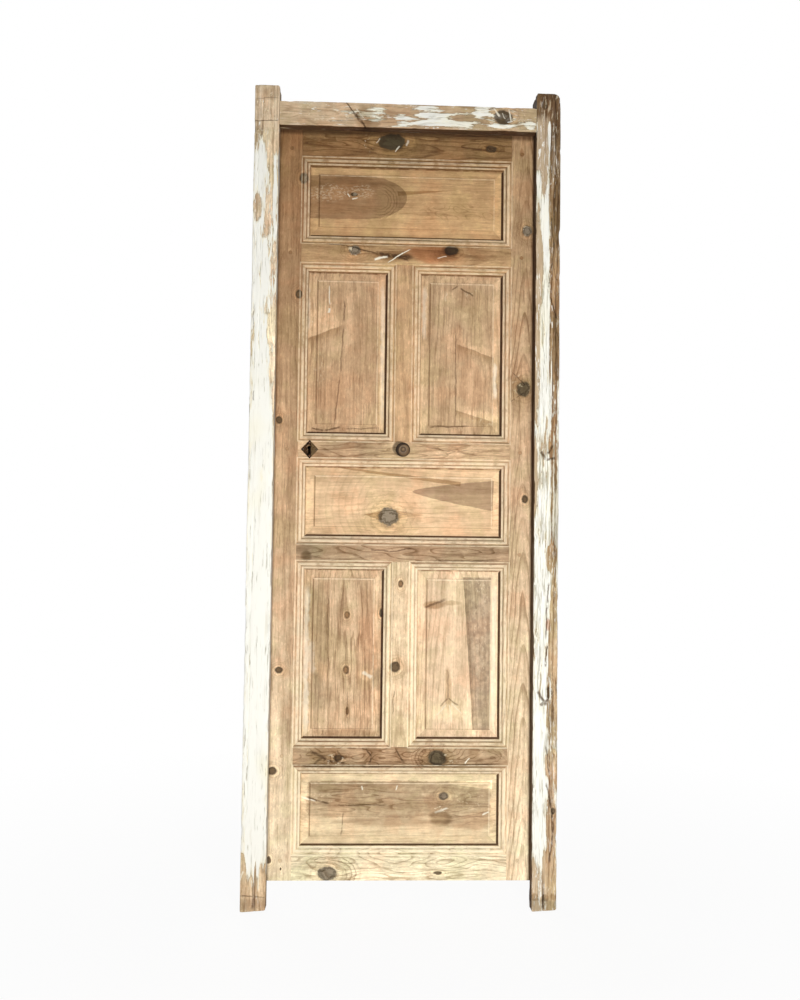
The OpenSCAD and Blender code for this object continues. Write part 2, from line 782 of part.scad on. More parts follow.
module keeper() {
    x0 = rebate_left - keeper_w;
    color(iron) difference() {
        union() {
            depth(frame_back, frame_back + keeper_t)
                area(x0, keeper_low - keeper_flange_h, rebate_left, keeper_high + keeper_flange_h);
            depth(frame_back, keeper_back) area(x0, keeper_low, rebate_left, keeper_high);
        }
        depth(frame_back - overrun, keeper_back - keeper_t)
            area(x0 - overrun, keeper_low + keeper_t, rebate_left + overrun, keeper_high - keeper_t);
        keeper_screw_set(joint_fit);
    }
}

module keeper_screws() { color(iron) keeper_screw_set(); }

lock_post();
hinge_post();
frame_head();
frame_pegs();
keeper();
keeper_screws();
upper_hinge_frame_plate();
middle_hinge_frame_plate();
lower_hinge_frame_plate();
upper_hinge_pin();
middle_hinge_pin();
lower_hinge_pin();
hinge_frame_screws();
lock_stile();
hinge_stile();
bottom_rail();
lower_rail();
middle_rail();
lock_rail();
frieze_rail();
top_rail();
lower_muntin();
upper_muntin();
bottom_panel();
lower_left_panel();
lower_right_panel();
middle_panel();
upper_left_panel();
upper_right_panel();
frieze_panel();
leaf_pegs();
escutcheon();
escutcheon_nails();
pull_knob();
knob_bolt();
knob_washer();
knob_nut();
lock_case();
lock_stud();
lock_spring();
lock_screws();
lock_bolt();
upper_hinge_leaf_plate();
middle_hinge_leaf_plate();
lower_hinge_leaf_plate();
hinge_leaf_screws();
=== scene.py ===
"""Old panelled pine door in its frame: looks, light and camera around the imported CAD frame."""
import math
import bmesh
import bpy
from mathutils import Matrix, Vector, noise


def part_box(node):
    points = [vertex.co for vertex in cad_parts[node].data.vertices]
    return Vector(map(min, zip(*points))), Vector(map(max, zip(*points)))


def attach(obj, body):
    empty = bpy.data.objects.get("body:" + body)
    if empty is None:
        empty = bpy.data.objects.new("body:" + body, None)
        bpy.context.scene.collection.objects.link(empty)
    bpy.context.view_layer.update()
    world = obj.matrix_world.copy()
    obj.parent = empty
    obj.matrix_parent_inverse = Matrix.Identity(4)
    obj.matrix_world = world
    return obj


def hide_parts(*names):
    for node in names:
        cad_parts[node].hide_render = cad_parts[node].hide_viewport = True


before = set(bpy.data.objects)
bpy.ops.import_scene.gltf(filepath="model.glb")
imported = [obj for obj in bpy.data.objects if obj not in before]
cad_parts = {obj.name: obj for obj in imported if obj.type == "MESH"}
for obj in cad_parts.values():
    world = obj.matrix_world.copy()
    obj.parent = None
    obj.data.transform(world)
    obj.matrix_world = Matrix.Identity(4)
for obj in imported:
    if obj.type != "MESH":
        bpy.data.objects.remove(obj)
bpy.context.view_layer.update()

MM = 0.001

# Photo frame and the camera fitted to it: focal length in pixels, angles in degrees
PHOTO_W, PHOTO_H = 800, 1000
FOCAL_PX = 1000
SENSOR_MM = 36
CAM_PLACE = Vector((-0.1204, -2.6897, 0.9626))
CAM_YAW, CAM_PITCH, CAM_ROLL = -2.365, 2.476, 0.717

# Depths along Y: face of the frame, back of its lip, face of the leaf, panel field, backs
FRAME_FACE, LIP_BACK, LEAF_FACE, FIELD_FACE, BACK_FACE = -0.040, -0.008, -0.006, 0.001, 0.032


def camera_axes():
    """Right, up and forward directions of the camera."""
    sy, cy = math.sin(math.radians(CAM_YAW)), math.cos(math.radians(CAM_YAW))
    sp, cp = math.sin(math.radians(CAM_PITCH)), math.cos(math.radians(CAM_PITCH))
    sr, cr = math.sin(math.radians(CAM_ROLL)), math.cos(math.radians(CAM_ROLL))
    level, rise = Vector((cy, sy, 0)), Vector((sp * sy, -sp * cy, cp))
    return cr * level + sr * rise, cr * rise - sr * level, Vector((-cp * sy, cp * cy, sp))


RIGHT, UP, FORWARD = camera_axes()


def on_plane(u, v, y):
    """X and Z of the point at depth y that lies behind photo pixel (u, v)."""
    ray = FORWARD + RIGHT * ((u - PHOTO_W / 2) / FOCAL_PX) + UP * ((PHOTO_H / 2 - v) / FOCAL_PX)
    point = CAM_PLACE + ray * ((y - CAM_PLACE.y) / ray.y)
    return point.x, point.z


def metres(pixels, y=LEAF_FACE):
    """Length at depth y that covers this many photo pixels."""
    return pixels * (y - CAM_PLACE.y) / FOCAL_PX


def add_camera():
    data = bpy.data.cameras.new("camera")
    data.sensor_width = data.sensor_height = SENSOR_MM
    data.lens = SENSOR_MM * FOCAL_PX / PHOTO_H
    camera = bpy.data.objects.new("camera", data)
    bpy.context.collection.objects.link(camera)
    turn = Matrix((RIGHT, UP, -FORWARD)).transposed()
    camera.matrix_world = Matrix.Translation(CAM_PLACE) @ turn.to_4x4()
    bpy.context.scene.camera = camera


# Node graphs from plain arithmetic

class Val:
    """Socket of a node graph that takes part in arithmetic."""

    def __init__(self, graph, socket):
        self.graph, self.socket = graph, socket

    def __add__(self, other): return self.graph.math("ADD", self, other)
    def __radd__(self, other): return self.graph.math("ADD", other, self)
    def __sub__(self, other): return self.graph.math("SUBTRACT", self, other)
    def __rsub__(self, other): return self.graph.math("SUBTRACT", other, self)
    def __mul__(self, other): return self.graph.math("MULTIPLY", self, other)
    def __rmul__(self, other): return self.graph.math("MULTIPLY", other, self)
    def __truediv__(self, other): return self.graph.math("DIVIDE", self, other)
    def __rtruediv__(self, other): return self.graph.math("DIVIDE", other, self)


class Graph:
    """Node graph of a new material or world, built by small helpers."""

    def __init__(self, name, kind="materials"):
        self.owner = getattr(bpy.data, kind).new(name)
        self.owner.use_nodes = True
        self.tree = self.owner.node_tree
        self.tree.nodes.clear()

    def add(self, kind, **settings):
        node = self.tree.nodes.new(kind)
        for key, value in settings.items():
            setattr(node, key, value)
        return node

    def feed(self, socket, value):
        if isinstance(value, Val):
            self.tree.links.new(value.socket, socket)
        elif socket.default_value != value:
            socket.default_value = value

    def math(self, kind, *values):
        node = self.add("ShaderNodeMath", operation=kind)
        for socket, value in zip(node.inputs, values):
            self.feed(socket, value)
        return Val(self, node.outputs[0])

    def smooth(self, value, low, high):
        """0 at low, 1 at high, soft between; low may lie above high."""
        node = self.add("ShaderNodeMapRange", interpolation_type="SMOOTHSTEP")
        for key, given in (("Value", value), ("From Min", low), ("From Max", high)):
            self.feed(node.inputs[key], given)
        return Val(self, node.outputs["Result"])

    def joined(self, values, kind="MAXIMUM"):
        """Greatest or least of some values, taken one by one, so that few stay open at a time."""
        best = None
        for value in values:
            best = value if best is None else self.math(kind, best, value)
        return best

    def most(self, *values): return self.joined(values)
    def root(self, value): return self.math("SQRT", value)
    def size(self, value): return self.math("ABSOLUTE", value)

    def vec(self, x, y, z):
        node = self.add("ShaderNodeCombineXYZ")
        for socket, value in zip(node.inputs, (x, y, z)):
            self.feed(socket, value)
        return Val(self, node.outputs[0])

    def noise(self, vector, detail=2.0, rough=0.5):
        node = self.add("ShaderNodeTexNoise")
        self.feed(node.inputs["Vector"], vector)
        self.feed(node.inputs["Scale"], 1.0)
        self.feed(node.inputs["Detail"], detail)
        self.feed(node.inputs["Roughness"], rough)
        return Val(self, node.outputs["Fac"])

    def mapped(self, vector, scale, shift):
        """Vector scaled per axis and moved along its third axis."""
        node = self.add("ShaderNodeMapping")
        self.feed(node.inputs["Vector"], vector)
        self.feed(node.inputs["Scale"], scale)
        self.feed(node.inputs["Location"], (0.0, 0.0, shift))
        return Val(self, node.outputs[0])

    def place(self):
        """X, Y and Z of the shaded point in the piece's own frame, also kept whole."""
        self.whole = Val(self, self.add("ShaderNodeTexCoord").outputs["Object"])
        split = self.add("ShaderNodeSeparateXYZ")
        self.feed(split.inputs[0], self.whole)
        return [Val(self, socket) for socket in split.outputs]

    def attribute(self, name):
        node = self.add("ShaderNodeAttribute", attribute_name=name)
        return Val(self, node.outputs["Fac"])

    def ramp(self, value, stops):
        """Colour of a value between sorted (place, colour) stops, places from 0 to 1."""
        node = self.add("ShaderNodeValToRGB")
        elements = node.color_ramp.elements
        while len(elements) < len(stops):
            elements.new(0.5)
        for element, (spot, colour) in zip(elements, stops):
            element.position = spot
            element.color = colour
        self.feed(node.inputs[0], value)
        return Val(self, node.outputs[0])

    def mix(self, share, a, b, blend="MIX"):
        node = self.add("ShaderNodeMix", data_type="RGBA", blend_type=blend)
        self.feed(node.inputs[0], share)
        self.feed(node.inputs[6], a)
        self.feed(node.inputs[7], b)
        return Val(self, node.outputs[2])

    def tint(self, colour, share, tone):
        """Multiplies a colour by a tone, as far as share goes."""
        return self.mix(share, colour, (*tone, 1), "MULTIPLY")

    def finish(self, colour, rough, height, relief, specular=0.3, metal=None):
        """Shader with a bump of the given relief in metres."""
        bsdf = self.add("ShaderNodeBsdfPrincipled")
        self.feed(bsdf.inputs["Base Color"], colour)
        self.feed(bsdf.inputs["Roughness"], rough)
        self.feed(bsdf.inputs["Specular IOR Level"], specular)
        if metal is not None:
            self.feed(bsdf.inputs["Metallic"], metal)
        bump = self.add("ShaderNodeBump")
        self.feed(bump.inputs["Strength"], 1.0)
        self.feed(bump.inputs["Distance"], relief)
        self.feed(bump.inputs["Height"], height)
        self.tree.links.new(bump.outputs[0], bsdf.inputs["Normal"])
        out = self.add("ShaderNodeOutputMaterial")
        self.tree.links.new(bsdf.outputs[0], out.inputs[0])
        return self.owner

    def seen_directly(self):
        """1 for rays that show the background itself: camera, mirror and glass rays."""
        path = self.add("ShaderNodeLightPath")
        return self.joined(Val(self, path.outputs[key]) for key in SEEN_RAYS)

    def show(self, share, first, second, kind):
        """Ends a graph with the first shader, or the second as far as share goes."""
        mix, out = self.add("ShaderNodeMixShader"), self.add(kind)
        self.feed(mix.inputs[0], share)
        for socket, node in zip(mix.inputs[1:], (first, second)):
            self.tree.links.new(node.outputs[0], socket)
        self.tree.links.new(mix.outputs[0], out.inputs[0])


def linear(*rgb):
    """Linear colour of an sRGB triple from 0 to 255."""
    return tuple((c / 255 / 12.92) if c < 10.3 else ((c / 255 + 0.055) / 1.055) ** 2.4 for c in rgb)


def stops(tones):
    """Stops of a ramp from (share of the height, sRGB) pairs."""
    return [(spot, (*linear(*tone), 1)) for spot, tone in tones]


# Aged pine

DARK_GRAIN, LIGHT_GRAIN = (0.73, 0.69, 0.65), (1.48, 1.56, 1.66)
LATEWOOD = (0.52, 0.44, 0.36)
KNOT_HALO, KNOT_RIM = (0.80, 0.74, 0.66), linear(50, 40, 27)
KNOT_RING = (1.35, 1.38, 1.40)
OLD_KNOT, GREY_KNOT, DARK_KNOT = linear(98, 76, 50), linear(138, 126, 108), linear(78, 64, 44)
PALE_SPECK, DARK_SPECK, PORE_TONE = (1.42, 1.48, 1.54), (0.66, 0.60, 0.54), (0.58, 0.51, 0.44)
SPECK_SHARE, PORE_SHARE = 0.45, 0.55
OLIVE_KNOT, SMOKE_KNOT, RED_KNOT = linear(66, 60, 42), linear(104, 92, 70), linear(150, 112, 74)
CHIP_TONE, FLECK_TONE = linear(240, 232, 212), linear(232, 214, 182)
PINK_CAST, OLIVE_CAST = (1.05, 0.98, 0.96), (0.96, 1.0, 0.95)
CRACK_TONE = (0.20, 0.15, 0.11)
# Dirt with painted shade, in the moulding's quirks and where a panel meets it
GRIME_AND_SHADE_TONE = (0.40, 0.32, 0.24)
# Paler worn edges and their cream, partly painted highlights on lit crests and steps
WORN_AND_LIT_TONE, CREAM_WEAR_AND_HIGHLIGHT = (1.40, 1.44, 1.48), linear(246, 231, 200)
# Cream on worn and lit edges, partly a painted highlight: its share at the foot of the leaf, and how much
# less there is at the top
CREAM_LOW, CREAM_FALL = 0.85, 0.50
# Painted highlight and painted shade of a panel's margins, and painted shade on its field's step
LIT_TONE, SHADE_TONE, STEP_SHADE_LINE = (1.24, 1.25, 1.24), (0.84, 0.80, 0.76), (0.38, 0.29, 0.20)
SHADOW_LINE = (0.10, 0.065, 0.045)
EDGE_BLUR, BOARD_RELIEF = 0.4 * MM, 0.7 * MM
DRY_ROUGHNESS, DRY_SPECULAR = 0.74, 0.22
# Bands beside an opening, painted highlights on the moulding's crests with some wear, painted shade in its
# quirks with some dirt: low and high distance from its edge in mm, strength
MOULDING_LIGHT = [(0.8, 5.8, 0.95), (8.8, 16.0, 0.80), (20.6, 23.6, 0.85)]
MOULDING_DARK = [(-2.0, 0.4, 0.42), (6.4, 7.9, 0.28), (17.8, 19.6, 0.25)]
# Bands of a panel along each side of its opening, painted highlights, painted shade and painted shadows with
# some wear and dirt: low and high distance in mm, tone, strength
PANEL_BANDS = {
    "left": [(-27.2, -25.0, STEP_SHADE_LINE, 0.9), (-22.0, -3.0, LIT_TONE, 0.7), (-1.4, 2.0, GRIME_AND_SHADE_TONE, 0.8)],
    "right": [(-27.0, -24.4, WORN_AND_LIT_TONE, 0.65), (-23.0, -6.0, LIT_TONE, 0.9), (-5.6, 2.0, SHADOW_LINE, 0.98)],
    "top": [(-28.0, -25.0, WORN_AND_LIT_TONE, 0.65), (-22.0, -5.0, LIT_TONE, 0.25), (-3.4, 2.0, GRIME_AND_SHADE_TONE, 0.9)],
    "bottom": [(-27.0, -25.0, STEP_SHADE_LINE, 0.4), (-22.0, -5.0, SHADE_TONE, 0.3),
               (-4.6, 2.0, SHADOW_LINE, 0.97)]}
TONGUE = 8 * MM
LEAF_LOW, LEAF_HIGH = 0.071, 2.092
POST_OUT, POST_IN, POST_REBATE = 0.415, 0.3475, 0.3615
POST_TOP, REBATE_TOP, HEAD_LOW, HEAD_HIGH = 2.190, 2.096, 2.082, 2.148
# Painted shade with some dirt on the frame's lip and beside it
REVEAL_SHADE_AND_DIRT = (0.16, 0.11, 0.08)
# Surface marks fade out between these depths behind a board's face
FRONT_SHALLOW, FRONT_DEEP = 0.0135, 0.0150


class Pine:
    """Grain, knots and marks of one board, on which finishes are laid."""

    def __init__(self, name, along, tones, seed, plane, ring=(0.0, 0.035, 0.012, 0.05), late=0.5, streak=1.0,
                 rough=1.0):
        g = self.g = Graph(name)
        self.plane, self.seed, self.tones = plane, seed, tones
        self.ring, self.late_share, self.streak, self.rough = ring, late, streak, rough
        self.x, self.y, self.z = g.place()
        self.flip = along == "Z"
        self.a, self.b = (self.z, self.x) if self.flip else (self.x, self.z)
        self.place_at = g.whole
        self.lines_at = g.whole if self.flip else g.vec(self.b, self.y, self.a)
        self.ragged = self.clouds(70, 1)
        self.wobble = self.clouds(30, 1) * 0.010
        self.front = g.smooth(self.y, plane + FRONT_DEEP, plane + FRONT_SHALLOW)
        self.bent = self.b + self.waves(5, 1.6, 1, 2) * 0.014 + self.waves(40, 20, 2, 2) * 0.005
        self.cores = []

    def clouds(self, scale, turn, detail=3, rough=0.6):
        """Noise about zero, the same in all directions, with so many waves per metre."""
        spot = self.g.mapped(self.place_at, (scale, scale, scale), self.seed * turn)
        return self.g.noise(spot, detail, rough) - 0.5

    def waves(self, across, along, turn, detail=3, rough=0.6):
        """Noise about zero with so many waves per metre across and along the grain."""
        spot = self.g.mapped(self.lines_at, (across, across, along), self.seed * turn)
        return self.g.noise(spot, detail, rough) - 0.5

    def spot(self, u, v):
        """Places along and across the grain of a photo pixel."""
        x, z = on_plane(u, v, self.plane)
        return (z, x) if self.flip else (x, z)

    def scaled(self, value, centre, size):
        """Distance of a value from a centre, in units of a size."""
        return self.g.math("MULTIPLY_ADD", value, 1.0 / size, -centre / size)

    def beside_line(self, start, end):
        """Share of the way from one pixel to another, and signed distance from that line."""
        (x0, z0), (x1, z1) = on_plane(*start, self.plane), on_plane(*end, self.plane)
        length = math.hypot(x1 - x0, z1 - z0)
        ux, uz = (x1 - x0) / length, (z1 - z0) / length
        run = self.dot(ux / length, uz / length, -(x0 * ux + z0 * uz) / length)
        return run, self.dot(-uz, ux, x0 * uz - z0 * ux)

    def dot(self, kx, kz, shift):
        return self.g.math("MULTIPLY_ADD", self.x, kx, self.g.math("MULTIPLY_ADD", self.z, kz, shift))

    def knots(self, rows):
        """Knots: centre pixel, radius in pixels, stretch along the grain, tone if not the usual one."""
        g = self.g
        for u, v, radius, stretch, *tone in rows:
            ka, kb = self.spot(u, v)
            r = metres(radius)
            da, db = self.scaled(self.a, ka, r * stretch), self.scaled(self.b, kb, r)
            square = da * da + db * db
            self.bent = self.bent - (self.b - kb) * (0.9 / (square + 1.0))
            rho = g.root(square) + self.ragged * 0.8
            turn = g.math("ARCTAN2", db, da)
            self.cores.append((g.smooth(rho, 1.05, 0.85), rho, turn, tone[0] if tone else OLD_KNOT))
        return self

    def grain(self):
        """Lays the streaks, growth rings and knots, and returns the board for more marks."""
        g, y = self.g, self.y
        self.lines_at = g.vec(self.bent, y, self.a)
        broad, middle = self.waves(26, 1.1, 1), self.waves(120, 3.5, 2)
        self.fine = self.waves(520, 16, 3, 2)
        self.blur = self.waves(40, 9, 6) * 2.4
        self.broken = g.smooth(self.ragged, -0.28, 0.0)
        share = (broad * 1.2 + middle * 0.8 + self.fine * 0.5) * self.streak
        share = share + self.clouds(22, 1, 5, 0.65) * 1.1 + 0.46
        share = g.smooth(share, -0.15, 1.15)
        self.high = self.scaled(self.z, LEAF_LOW, LEAF_HIGH - LEAF_LOW)
        base = g.ramp(self.high, stops(self.tones))
        self.colour = g.mix(share, g.tint(base, 1.0, DARK_GRAIN), g.tint(base, 1.0, LIGHT_GRAIN))
        centre, deep, pitch, taper = self.ring
        off, far = self.bent - centre, y + deep
        radius = g.root(off * off + far * far) + self.a * taper + self.waves(9, 2.4, 5, 2) * 0.03
        late = self.thin_lines((radius + 3.0) / pitch)
        late = late * (g.smooth(self.waves(14, 2, 7, 2), -0.15, 0.15) * 0.75 + 0.25)
        self.late = late * self.late_share
        self.lay(self.late, LATEWOOD)
        cast = self.clouds(9, 2)
        self.lay(g.smooth(cast, 0.0, 0.12), PINK_CAST)
        self.lay(g.smooth(cast, 0.0, -0.12), OLIVE_CAST)
        speck = self.waves(210, 80, 1, 3, 0.7)
        self.lay(g.smooth(speck, 0.06, 0.15) * (SPECK_SHARE * self.rough), PALE_SPECK)
        self.lay(g.smooth(speck, -0.06, -0.15) * (SPECK_SHARE * self.rough), DARK_SPECK)
        pore = g.smooth(self.waves(260, 13, 4), -0.06, -0.16)
        self.lay(pore * (PORE_SHARE * self.rough), PORE_TONE)
        self.height = self.fine * 0.5 + self.late * 0.5 - pore * 0.4
        for knot in self.cores:
            self.lay_knot(*knot)
        return self

    def thin_lines(self, phase, start=0.52):
        """Dark line at the end of each whole step of a phase."""
        step = self.g.math("FRACT", phase)
        return self.g.smooth(step, start, 0.92) * self.g.smooth(step, 1.0, 0.94)

    def lay(self, share, tone):
        """Tints the board as far as share goes."""
        self.colour = self.g.tint(self.colour, share, tone)

    def cover(self, share, tone):
        """Covers the board with a tone as far as share goes."""
        self.colour = self.g.mix(share, self.colour, (*tone, 1))

    def marks(self, table):
        """Lays marks in the order of a table: name of their method, rows."""
        for kind, *rows in table:
            getattr(self, kind)(*[rows] if rows else [])
        return self

    def patch(self, u, v, half_u, half_v, uneven=1.0):
        """1 in a soft ragged ellipse: centre and half widths in pixels."""
        x, z = on_plane(u, v, self.plane)
        du, dv = self.scaled(self.x, x, metres(half_u)), self.scaled(self.z, z, metres(half_v))
        return self.g.smooth(du * du + dv * dv + self.blur * uneven, 1.5, 0.4)

    def figure(self, rows):
        """Curling growth rings: centre, half widths in pixels, waves across and along, lines, strength."""
        for u, v, half_u, half_v, across, along, lines, strength in rows:
            rings = self.thin_lines(self.waves(across, along, 11, 1) * lines + 9.0, 0.62)
            share = rings * self.patch(u, v, half_u, half_v) * (self.broken * 0.6 + 0.4) * strength
            self.lay(share, LATEWOOD)
        return self

    def flecks(self, rows, across=140, along=85, low=0.08):
        """Small pale splinters scattered over a patch: centre, half widths in pixels, strength."""
        specks = self.g.smooth(self.waves(across, along, 12, 3), low, low + 0.06) * self.front
        share = specks * self.g.joined(self.patch(*place, 0.5) * strength for *place, strength in rows)
        self.cover(share, FLECK_TONE)
        self.height = self.height + share * 0.5
        return self

    def fine_flecks(self, rows): return self.flecks(rows, 230, 130, 0.01)
    def long_flecks(self, rows): return self.flecks(rows, 210, 30, 0.06)

    def lay_knot(self, core, rho, turn, tone):
        """Halo, growth rings round it, pale ring, and core with rays and a dark rim."""
        g = self.g
        self.lay(g.smooth(rho, 3.2, 0.8) * 0.6, KNOT_HALO)
        loops = self.thin_lines(rho * 1.7 + self.ragged) * g.smooth(rho, 4.2, 1.4) * self.broken
        self.lay(loops * 0.4, LATEWOOD)
        ring = g.smooth(rho, 1.0, 1.15) * g.smooth(rho, 1.9, 1.3) * g.smooth(self.fine, -0.12, 0.10)
        self.lay(ring * 0.85, KNOT_RING)
        waves = g.math("SINE", rho * 13.0 + self.ragged * 9.0) * 0.3
        ray = g.smooth(g.noise(g.vec(turn * 2.4, rho * 0.7, self.seed), 3, 0.6), 0.44, 0.30)
        rim = g.most(g.smooth(rho + waves + self.fine * 1.8, 0.10, 1.20), ray * g.smooth(rho, 0.1, 0.4) * 0.7)
        self.colour = g.mix(core * 0.9, self.colour, g.mix(rim * 0.85, (*tone, 1), (*KNOT_RIM, 1)))
        self.height = self.height - core * 0.5 - ray * core * 0.8

    def blots(self, rows):
        """Soft patches: centre, half widths along U and V in pixels, tone, strength."""
        for u, v, half_u, half_v, tone, strength in rows:
            self.lay(self.patch(u, v, half_u, half_v) * strength, tone)
        return self

    def tongues(self, rows):
        """Dark heartwood: tip pixel, end pixel, half width at the end, power of its taper, tone, strength."""
        g = self.g
        for tip, end, half, power, tone, strength in rows:
            run, off = self.beside_line(tip, end)
            width = g.math("POWER", g.math("MAXIMUM", run, 0.0001), power) * metres(half)
            across = g.size(off + self.wobble * 0.5) - width
            inside = g.smooth(across, 0.0008, -0.0012) * g.smooth(run, 0.0, 0.02) * g.smooth(run, 1.01, 1.0)
            self.lay(inside * strength, tone)
        return self

    def lobes(self, rows):
        """Dark heartwood with a round tip: tip pixel, length of the tip, half height, end, tone, strength."""
        g = self.g
        for tip, blunt, half, end, tone, strength in rows:
            (x0, z0), (x1, _) = on_plane(*tip, self.plane), on_plane(end, tip[1], self.plane)
            run = g.math("MINIMUM", g.math("MAXIMUM", self.scaled(self.x, x0, -metres(blunt)), 0.0), 1.0)
            width = g.root(run * (2.0 - run)) * metres(half)
            across = g.size(self.z - z0 + self.wobble) - width
            inside = g.smooth(across, 0.0010, -0.0014) * g.smooth(self.x, x0, x0 - 1 * MM)
            inside = inside * g.smooth(self.x, x1 - 1 * MM, x1)
            self.lay(inside * strength, tone)
        return self

    def folds(self, rows):
        """Firm change of tone at a line: left and right end pixels, pale and dark reach, strength."""
        g = self.g
        for start, end, pale, dark, strength in rows:
            run, off = self.beside_line(start, end)
            off = off + self.wobble
            ends = g.smooth(run, -0.03, 0.06) * g.smooth(run, 1.03, 0.8) * strength
            above = g.smooth(off, 0.0, 0.0012) * g.smooth(off, metres(pale), 0.0)
            below = g.smooth(off, 0.0, -0.0012) * g.smooth(off, -metres(dark), 0.0)
            self.lay(above * ends, PALE)
            self.lay(below * ends, BROWN)
        return self

    def halves(self, rows):
        """Another board right of a line: its top and bottom pixels, corners of the field, tone, strength."""
        g = self.g
        for top, bottom, low, high, tone, strength in rows:
            off = self.beside_line(top, bottom)[1] + self.wobble * 0.4
            (x0, z1), (x1, z0) = on_plane(*low, self.plane), on_plane(*high, self.plane)
            field = g.smooth(self.outside((x0, z0, x1, z1)), 0.0008, -0.0008)
            mottle = g.smooth(self.ragged + self.blur * 0.2, -0.12, 0.16) * 0.35 + 0.65
            inside = g.smooth(off, -0.0008, 0.0008) * field
            edge = inside * g.smooth(off, metres(7), metres(1))
            self.lay(inside * mottle * strength, tone)
            self.lay(edge * 0.5, BROWN)
        return self

    def boards(self, rows):
        """Broad stains with firm ragged edges: two corner pixels, unevenness in pixels, tone, strength."""
        g = self.g
        for (u0, v0), (u1, v1), uneven, tone, strength in rows:
            (x0, z1), (x1, z0) = on_plane(u0, v0, self.plane), on_plane(u1, v1, self.plane)
            blur = (self.ragged * 2.0 + self.blur) * metres(uneven)
            inside = g.smooth(self.outside((x0, z0, x1, z1)) + blur, metres(uneven) * 0.3 + 0.001, -0.001)
            share = g.smooth(self.ragged + self.waves(60, 7, 1), -0.3, 0.12) * 0.5 + 0.5
            self.lay(inside * share * strength, tone)
        return self

    def ripples(self, rows):
        """Nested arcs: centre pixel, stretch along U, inner and outer radius, pitch, facing, strength."""
        g = self.g
        for u, v, stretch, inner, outer, pitch, face_u, face_v, strength in rows:
            x, z = on_plane(u, v, self.plane)
            du, dv = self.scaled(self.x, x, metres(stretch)), self.scaled(self.z, z, metres(1.0))
            r = g.root(du * du + dv * dv) + self.ragged * 4.0
            window = g.smooth(r, outer, outer * 0.7) * g.smooth(r, inner * 0.8, inner * 1.2)
            facing = g.smooth(du * face_u - dv * face_v, -0.2 * outer, 0.25 * outer)
            self.lay(self.thin_lines(r / pitch) * window * facing * strength, LATEWOOD)
        return self

    def stroke(self, start, end, half):
        """Broken line between two pixels with a half width in pixels."""
        g = self.g
        run, off = self.beside_line(start, end)
        across = g.size(off + self.wobble) + self.ragged * (metres(half) * 1.2)
        ends = g.smooth(run, -0.02, 0.12) * g.smooth(run, 1.02, 0.85) * self.front
        return g.smooth(across, metres(half), metres(half) * 0.2) * ends

    def strokes(self, rows):
        """Joined strokes: two end pixels, half width in pixels, strength."""
        return self.g.joined(self.stroke(start, end, half) * strength for start, end, half, strength in rows)

    def cracks(self, rows, tone=CRACK_TONE):
        """Dark thin lines: two end pixels, half width in pixels, strength."""
        inside = self.strokes(rows) * self.broken * 0.9
        self.lay(inside, tone)
        self.height = self.height - inside * 1.6
        return self

    def chips(self, rows):
        """White splinters and paint marks: two end pixels, half width in pixels, strength."""
        inside = self.strokes(rows)
        self.cover(inside, CHIP_TONE)
        self.height = self.height + inside * 0.6
        return self

    def outside(self, box):
        """Distance outside a rectangle of X and Z, in the way of mitred corners."""
        x0, z0, x1, z1 = box
        du = self.g.size(self.x - (x0 + x1) / 2) - (x1 - x0) / 2
        dv = self.g.size(self.z - (z0 + z1) / 2) - (z1 - z0) / 2
        return self.g.math("MAXIMUM", du, dv)

    def band(self, u, low, high):
        """1 where a distance u lies between two distances in mm."""
        middle, half = (low + high) / 2 * MM, (high - low) / 2 * MM
        return self.g.smooth(self.g.size(u - middle), half + EDGE_BLUR, half - EDGE_BLUR)

    def edge_breakup(self):
        """Broken share along the edges, only on the front."""
        g = self.g
        broken = g.smooth(self.clouds(45, 8) + self.ragged * 0.5, -0.20, 0.10)
        return (broken * 0.7 + 0.3) * g.smooth(self.y, 0.0165, 0.0150)

    def mouldings(self, boxes):
        """Painted highlights on the crests and painted shade in the quirks of the mouldings beside the
        openings, with some wear and dirt.
        """
        # The broken share breaks up painted highlights and painted shade as well as wear
        g, wear = self.g, self.edge_breakup()
        u = g.joined((self.outside(box) for box in boxes), "MINIMUM")
        for rows, tone in ((MOULDING_LIGHT, WORN_AND_LIT_TONE), (MOULDING_DARK, GRIME_AND_SHADE_TONE)):
            bands = [self.band(u, low, high) * strength for low, high, strength in rows]
            self.lay_band(g.most(*bands) * wear, tone)
        return self

    def lay_band(self, share, tone):
        """Lays a band's tone, painted highlights and painted shade among them; worn and lit edges also turn
        cream, partly a painted highlight.
        """
        self.lay(share, tone)
        if tone == WORN_AND_LIT_TONE:
            self.cover(share * (CREAM_LOW - self.high * CREAM_FALL), CREAM_WEAR_AND_HIGHLIGHT)

    def fielded(self, box):
        """Painted highlights, painted shade and painted shadows, with wear and dirt, on the margin and the
        raised field of a panel, side by side.
        """
        # The broken share breaks up painted highlights and painted shade as well as wear
        g, wear = self.g, self.edge_breakup()
        x0, z0, x1, z1 = box
        gaps = {"left": x0 - self.x, "right": self.x - x1, "top": self.z - z1, "bottom": z0 - self.z}
        for side, gap in gaps.items():
            rest = g.most(*[other for key, other in gaps.items() if key != side])
            near = g.smooth(gap - rest, -EDGE_BLUR, EDGE_BLUR)
            for low, high, tone, strength in PANEL_BANDS[side]:
                share = near if tone in (SHADOW_LINE, STEP_SHADE_LINE) else near * wear
                self.lay_band(self.band(gap, low, high) * share * strength, tone)
        return self

    def shade_and_dirt_edge(self, distance, low, high, strength):
        """Painted shade with some dirt, deepening from a high to a low distance from the frame's lip."""
        self.lay(self.g.smooth(distance, high, low) * strength, REVEAL_SHADE_AND_DIRT)
        return self

